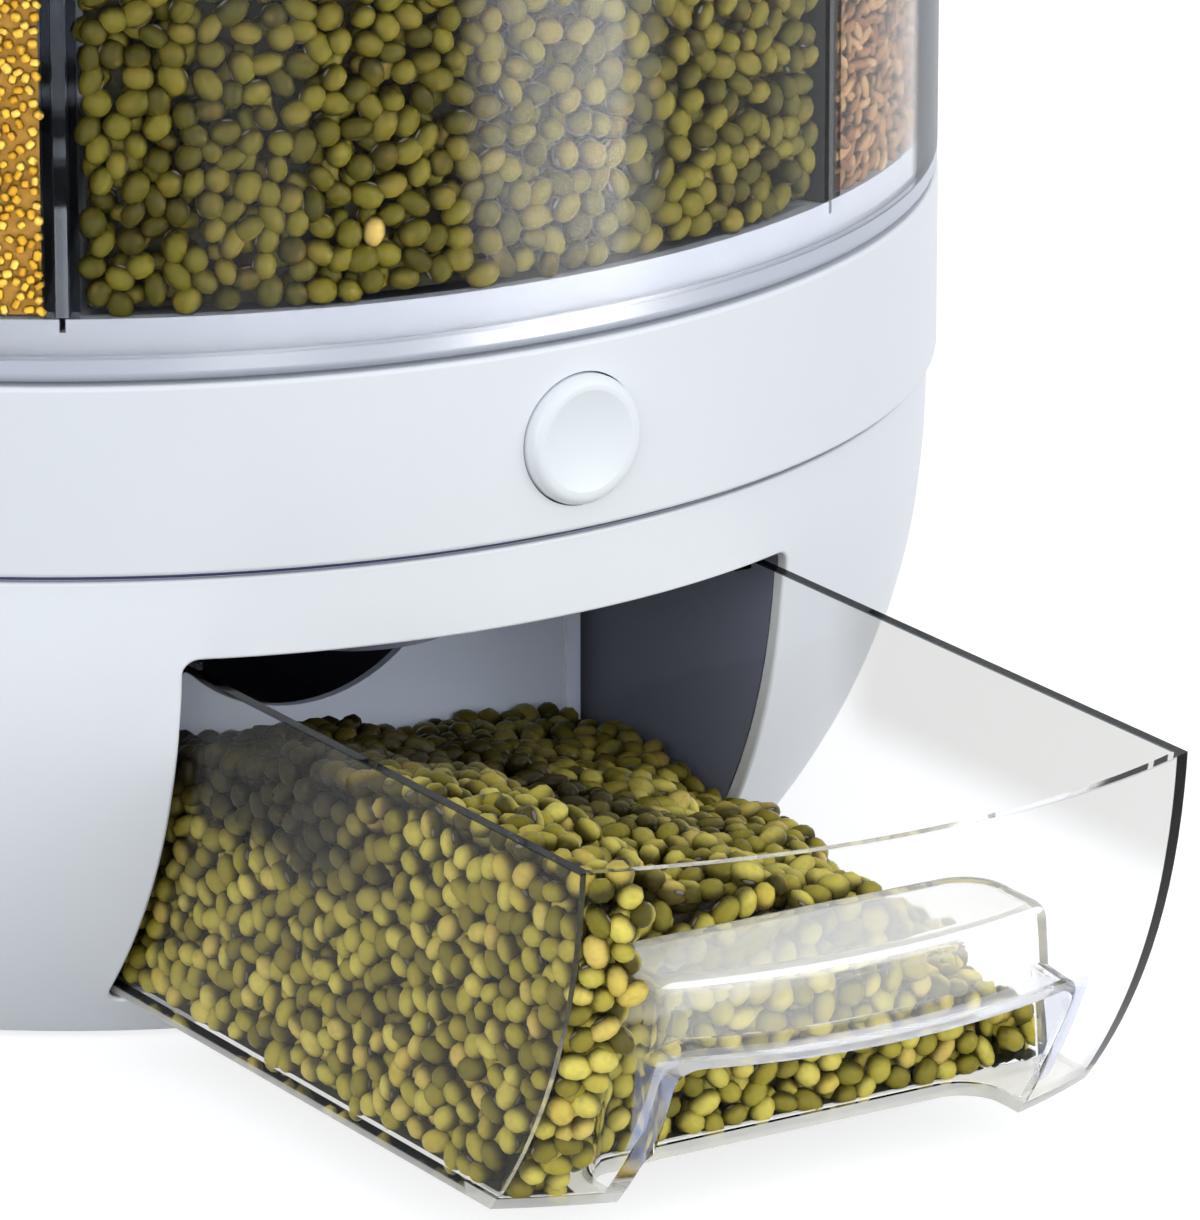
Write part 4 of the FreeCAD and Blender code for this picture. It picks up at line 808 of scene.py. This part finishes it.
# %% Scatter tree
def scatter_tree():
    """Grain on a surface: the tree with its inputs."""
    tree = bpy.data.node_groups.new("scatter_grain", "GeometryNodeTree")
    tree.is_modifier = True
    sockets = {}
    for name, kind in (("Geometry", "NodeSocketGeometry"), ("Grain", "NodeSocketObject"),
                       ("Spacing", "NodeSocketFloat"), ("Density", "NodeSocketFloat"),
                       ("Tilt", "NodeSocketFloat"), ("Seed", "NodeSocketInt"),
                       ("Material", "NodeSocketMaterial")):
        made = tree.interface.new_socket(name, in_out="INPUT", socket_type=kind)
        sockets[name] = made.identifier
    tree.interface.new_socket("Geometry", in_out="OUTPUT", socket_type="NodeSocketGeometry")

    def add(kind, settings=None, links=None):
        made = tree.nodes.new(kind)
        for name, setting in (settings or {}).items():
            setattr(made, name, setting)
        for name, source in (links or {}).items():
            if hasattr(source, "is_output"):
                tree.links.new(source, made.inputs[name])
            else:
                made.inputs[name].default_value = source
        return made

    given = add("NodeGroupInput").outputs
    points = add("GeometryNodeDistributePointsOnFaces", {"distribute_method": "POISSON"}, {
        "Mesh": given["Geometry"], "Distance Min": given["Spacing"],
        "Density Max": given["Density"], "Seed": given["Seed"]})
    tilt_low = add("ShaderNodeMath", {"operation": "MULTIPLY"}, {0: given["Tilt"], 1: -1.0})
    low = add("ShaderNodeCombineXYZ", None, {0: tilt_low.outputs[0], 1: tilt_low.outputs[0], 2: 0.0})
    high = add("ShaderNodeCombineXYZ", None, {0: given["Tilt"], 1: given["Tilt"], 2: math.tau})
    turn = add("FunctionNodeRandomValue", {"data_type": "FLOAT_VECTOR"}, {
        0: low.outputs[0], 1: high.outputs[0], "Seed": given["Seed"]})
    euler = add("FunctionNodeEulerToRotation", None, {0: turn.outputs[0]})
    turned = add("FunctionNodeRotateRotation", {"rotation_space": "LOCAL"}, {
        0: points.outputs["Rotation"], 1: euler.outputs[0]})
    size = add("FunctionNodeRandomValue", {"data_type": "FLOAT_VECTOR"}, {
        0: (0.78, 0.8, 0.8), 1: (1.12, 1.1, 1.1), "Seed": 11})
    grain = add("GeometryNodeObjectInfo", None, {"Object": given["Grain"]})
    copies = add("GeometryNodeInstanceOnPoints", None, {
        "Points": points.outputs["Points"], "Instance": grain.outputs["Geometry"],
        "Rotation": turned.outputs[0], "Scale": size.outputs[0]})
    tone = add("FunctionNodeRandomValue", {"data_type": "FLOAT"}, {"Seed": 5})
    stored = add("GeometryNodeStoreNamedAttribute", {"data_type": "FLOAT", "domain": "INSTANCE"}, {
        "Geometry": copies.outputs[0], "Name": "grain_tone", "Value": tone.outputs[1]})
    real = add("GeometryNodeRealizeInstances", None, {"Geometry": stored.outputs[0]})
    dressed = add("GeometryNodeSetMaterial", None, {
        "Geometry": real.outputs[0], "Material": given["Material"]})
    out = add("NodeGroupOutput")
    tree.links.new(dressed.outputs[0], out.inputs[0])
    return tree, sockets


SCATTER, INPUTS = scatter_tree()
print("scatter tree:", len(SCATTER.nodes), "nodes")

# %% [markdown]
# ## From layers to one piece
#
# One layer of grain would show gaps, so a second layer lies behind it, and a plain dark core behind
# both, painted shade for the grain deeper in. The layers are joined with the core into one mesh, and that
# piece rides on the body that carries the grain: the drawer's beans come along when it slides, and the
# tub's grain when it turns.

# %% Layers
CLOSE_PACKING = 4.0
TILT = 0.4


def scatter(skin, grain, spacing, seed, skin_material):
    """Grain over a heap's skin, as one plain mesh."""
    modifier = skin.modifiers.new("scatter", "NODES")
    modifier.node_group = SCATTER
    values = {"Grain": grain, "Spacing": spacing, "Density": CLOSE_PACKING / spacing ** 2, "Tilt": TILT,
              "Seed": seed, "Material": skin_material}
    for name, value in values.items():
        modifier[INPUTS[name]] = value
    bpy.context.view_layer.update()
    evaluated = skin.evaluated_get(bpy.context.evaluated_depsgraph_get())
    mesh = bpy.data.meshes.new_from_object(evaluated)
    skin.modifiers.remove(modifier)
    return mesh


def join(objects, into):
    with bpy.context.temp_override(active_object=into, selected_editable_objects=objects):
        bpy.ops.object.join()


def grain_piece(name, body, core, core_material, layers):
    """The heap as one piece that rides on a body: a plain core of painted shade under its layers of grain.
    """
    core.data.materials.append(core_material)
    parts = [core]
    for skin, *recipe in layers:
        layer = bpy.data.objects.new(name + "_layer", scatter(skin, *recipe))
        bpy.context.scene.collection.objects.link(layer)
        bpy.data.objects.remove(skin)
        parts.append(layer)
    piece = parts[-1]
    join(parts, piece)
    piece.name = name
    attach(piece, body)
    print(name, "triangles", sum(len(p.vertices) - 2 for p in piece.data.polygons))
    return piece


print("layers ready")

# %% [markdown]
# ## Beans in the drawer
#
# The beans lie as the spout dropped them: high against the left wall and the front, sloping down to the
# back and to the right. A few heights on a plan, blended by distance, give that slope. Down the middle
# the spout's lip passes over them when the drawer closes, so a lane there stays lower than the lip.

# %% Drawer heap
# Places in the drawer and the beans' height there: x, y and z in millimetres.
DRAWER_HEIGHTS = (
    (-54, -74, 43), (-54, -105, 51), (-54, -135, 58), (-54, -165, 66), (-54, -195, 70), (-54, -225, 70),
    (-46, -245, 69), (-20, -74, 38), (-20, -110, 49), (-20, -150, 60), (-20, -190, 66), (-20, -215, 65),
    (15, -74, 34), (15, -110, 39), (15, -150, 46), (15, -190, 49), (15, -214, 48),
    (40, -74, 33), (40, -110, 33), (40, -150, 32), (40, -190, 29), (38, -214, 26),
    (54, -74, 31), (54, -120, 27), (54, -170, 22), (54, -205, 16), (50, -235, 3),
)
BLEND_SOFT, BLEND_POWER = 60, 1.6
HUMP_HEIGHT, HUMP_WIDTH = 1.6, 9
BUMP_HEIGHT, BUMP_WIDTH = 1.0, 4
LANE_LEFT, LANE_RIGHT, LANE_FRONT = -17.0, 27.0, -221
LANE_TOP, LANE_SLOPE = 52.0, 0.9
POCKET_HALF, POCKET_BACK = 42.0, -218.0
POCKET_FOOT, POCKET_TOP = 10, 49
POCKET_LEAN, POCKET_OVERHANG = 0.09, 0.7
INSIDE_HALF, INSIDE_BACK = 54.7, -72.4
WALL, FLOOR_LEVEL, LOWERED_ABOVE = 2.0, 12, 20
BOWL_RADIUS, BOWL_FLARE, BOWL_TOP, BOWL_POWER = 145.8, 32.84, 90.2, 2.544


def bowl_radius(z):
    """The bowl's outside radius at a height, in millimetres."""
    return BOWL_RADIUS - BOWL_FLARE * (1 - z / BOWL_TOP) ** BOWL_POWER


def drawer_top(x, y):
    """Height of the beans at a place in the drawer, in millimetres."""
    total = weight_sum = 0.0
    for px, py, pz in DRAWER_HEIGHTS:
        weight = 1 / ((x - px) ** 2 + (y - py) ** 2 + BLEND_SOFT) ** BLEND_POWER
        total += pz * weight
        weight_sum += weight
    bumps = HUMP_HEIGHT * noise.noise(Vector((x, y, 0)) / HUMP_WIDTH)
    bumps += BUMP_HEIGHT * noise.noise(Vector((x, y, 40)) / BUMP_WIDTH)
    beside = max(LANE_LEFT - x, x - LANE_RIGHT, LANE_FRONT - y, 0)
    return min(total / weight_sum, LANE_TOP + LANE_SLOPE * beside) + bumps


def drawer_front(x, z, inset):
    """How far forward the beans reach: to the finger pocket, or to the bowl's outline beside it."""
    if abs(x) < POCKET_HALF + inset:
        over = max(0.0, z - POCKET_TOP) * POCKET_OVERHANG
        return POCKET_BACK + inset - POCKET_LEAN * (z - POCKET_FOOT) + over
    radius = bowl_radius(z) - WALL - inset
    return -PULL_MM - math.sqrt(max(radius ** 2 - x * x, 1))


print("drawer's heap is", round(drawer_top(-54, -195)), "mm high at the left and",
      round(drawer_top(54, -195)), "mm at the right")

# %% [markdown]
# ## Fill the drawer
#
# Four skins share those heights: near beans with all their faces, far beans with fewer a little further
# in, the dark core behind both, and a bottom for the core just above the drawer's floor. Core and bottom
# are painted shade. How far forward a point lies depends on its height, so the top is found by trying
# three times.

# %% Fill the drawer
SPACING_NEAR, SPACING_FAR = 0.0036, 0.0040


def drawer_place(inset):
    """The functions that place heap points in the drawer, a distance in from its walls."""
    half = INSIDE_HALF - inset
    back = INSIDE_BACK - inset

    def plan(u, v, z):
        x = -half + 2 * half * u
        return x, back + (drawer_front(x, z, inset) - back) * v

    def place(u, v, z):
        x, y = plan(u, v, max(z, FLOOR_LEVEL))
        lowered = inset - WALL if z > LOWERED_ABOVE else 0
        return x * MM, y * MM, (z - lowered) * MM

    def top(u, v):
        guess = 60.0
        for _ in range(3):
            guess = drawer_top(*plan(u, v, guess))
        return guess

    return place, top


def fill_drawer():
    steps = (54, 70, 16)
    seen = ("top", "front", "left", "right")
    skins = []
    for inset, sides in ((2.1, seen), (4.4, seen), (5.6, seen + ("back",)), (0.8, ("bottom",))):
        skins.append(heap_skin("drawer_heap", *drawer_place(inset), 11.9, sides, steps))
    near, far, core, bottom = skins
    join([core, bottom], core)
    return grain_piece("beans_in_drawer", "drawer", core, BEAN_CORE, (
        (near, BEAN, SPACING_NEAR, 3, LOOSE_SKIN),
        (far, FAR_BEAN, SPACING_FAR, 4, LOOSE_SKIN),
    ))


fill_drawer()

# %% [markdown]
# ## Grain in the tub
#
# Three compartments hold grain: green beans over the drawer, millet on the left, brown grain on the
# right. Each heap is a wedge, and only its faces that clear plastic shows are covered.

# %% Tub heaps
TUB_TURN = -1.0
COMPARTMENT = 60
HUB_RADIUS, WALL_RADIUS = 24.0, 144.0
RIB_ROOM = 2.0
TRAY_LEVEL = 133.0
MIDDLE_FALL = 10
TUB_HUMP, TUB_BUMP = 2.5, 1.2


def tub_place(centre, inset, side):
    """Places heap points in a compartment: an inset from the wall, and a distance from the blades.

    The heap keeps further from them towards the wall, where their ribs need room.
    """
    outer, inner = WALL_RADIUS - inset, HUB_RADIUS + inset

    def place(u, v, z):
        radius = inner + (outer - inner) * v
        half = math.radians(COMPARTMENT / 2) - math.asin(min((side + RIB_ROOM * v) / radius, 0.9))
        angle = math.radians(centre) + half * (2 * u - 1)
        return radius * math.sin(angle) * MM, -radius * math.cos(angle) * MM, z * MM

    return place


def tub_top(level, seed):
    """A nearly level top, a little lower towards the middle, with small bumps."""
    def top(u, v):
        spot = Vector((u * 9, v * 9, seed))
        bumps = TUB_HUMP * noise.noise(spot) + TUB_BUMP * noise.noise(spot * 3)
        return level + MIDDLE_FALL * (v - 0.5) + bumps
    return top


print("a compartment spans", COMPARTMENT, "degrees")

# %% [markdown]
# ## Fill the compartments
#
# Each kind of grain has its own level, spacing and number of layers. Beans are big enough to leave gaps
# that need a second layer, while millet and brown grain close over their core with one.

# %% Fill the compartments
def fill_compartment(name, index, level, sides, seed, core_material, layers):
    """Grain in one compartment: layers of (inset, grain, spacing, finish), each further in."""
    centre = TUB_TURN + COMPARTMENT * index
    steps = (48, 40, 30)
    grain_half = layers[0][0] * 0.6
    side = 0.6 + grain_half
    made = []
    for number, (inset, grain, spacing, skin_material) in enumerate(layers):
        top = tub_top(level - inset * 0.8, seed)
        low = TRAY_LEVEL + inset * 0.6
        skin = heap_skin(name + "_heap", tub_place(centre, inset, side), top, low, sides, steps)
        made.append((skin, grain, spacing, seed + number, skin_material))
    deep = layers[-1][0] + grain_half
    core = heap_skin(name + "_core", tub_place(centre, deep, side), tub_top(level - deep, seed),
                     TRAY_LEVEL - 0.1, sides, steps)
    return grain_piece(name, "tub", core, core_material, made)


fill_compartment("beans_in_tub", 0, 236, ("top", "front"), 7, BEAN_CORE, (
    (2.1, TUB_BEAN, 0.0035, TUB_BEAN_PAINTED_SHADE_SKIN), (4.3, FAR_BEAN, 0.0038, TUB_BEAN_PAINTED_SHADE_SKIN)))
fill_compartment("millet_in_tub", -1, 222, ("top", "front", "left"), 8, MILLET_CORE, (
    (1.05, MILLET, 0.00148, MILLET_SKIN),))
fill_compartment("brown_grain_in_tub", 1, 228, ("top", "front", "right"), 9, BROWN_CORE, (
    (1.2, BROWN_GRAIN, 0.0022, BROWN_SKIN),))
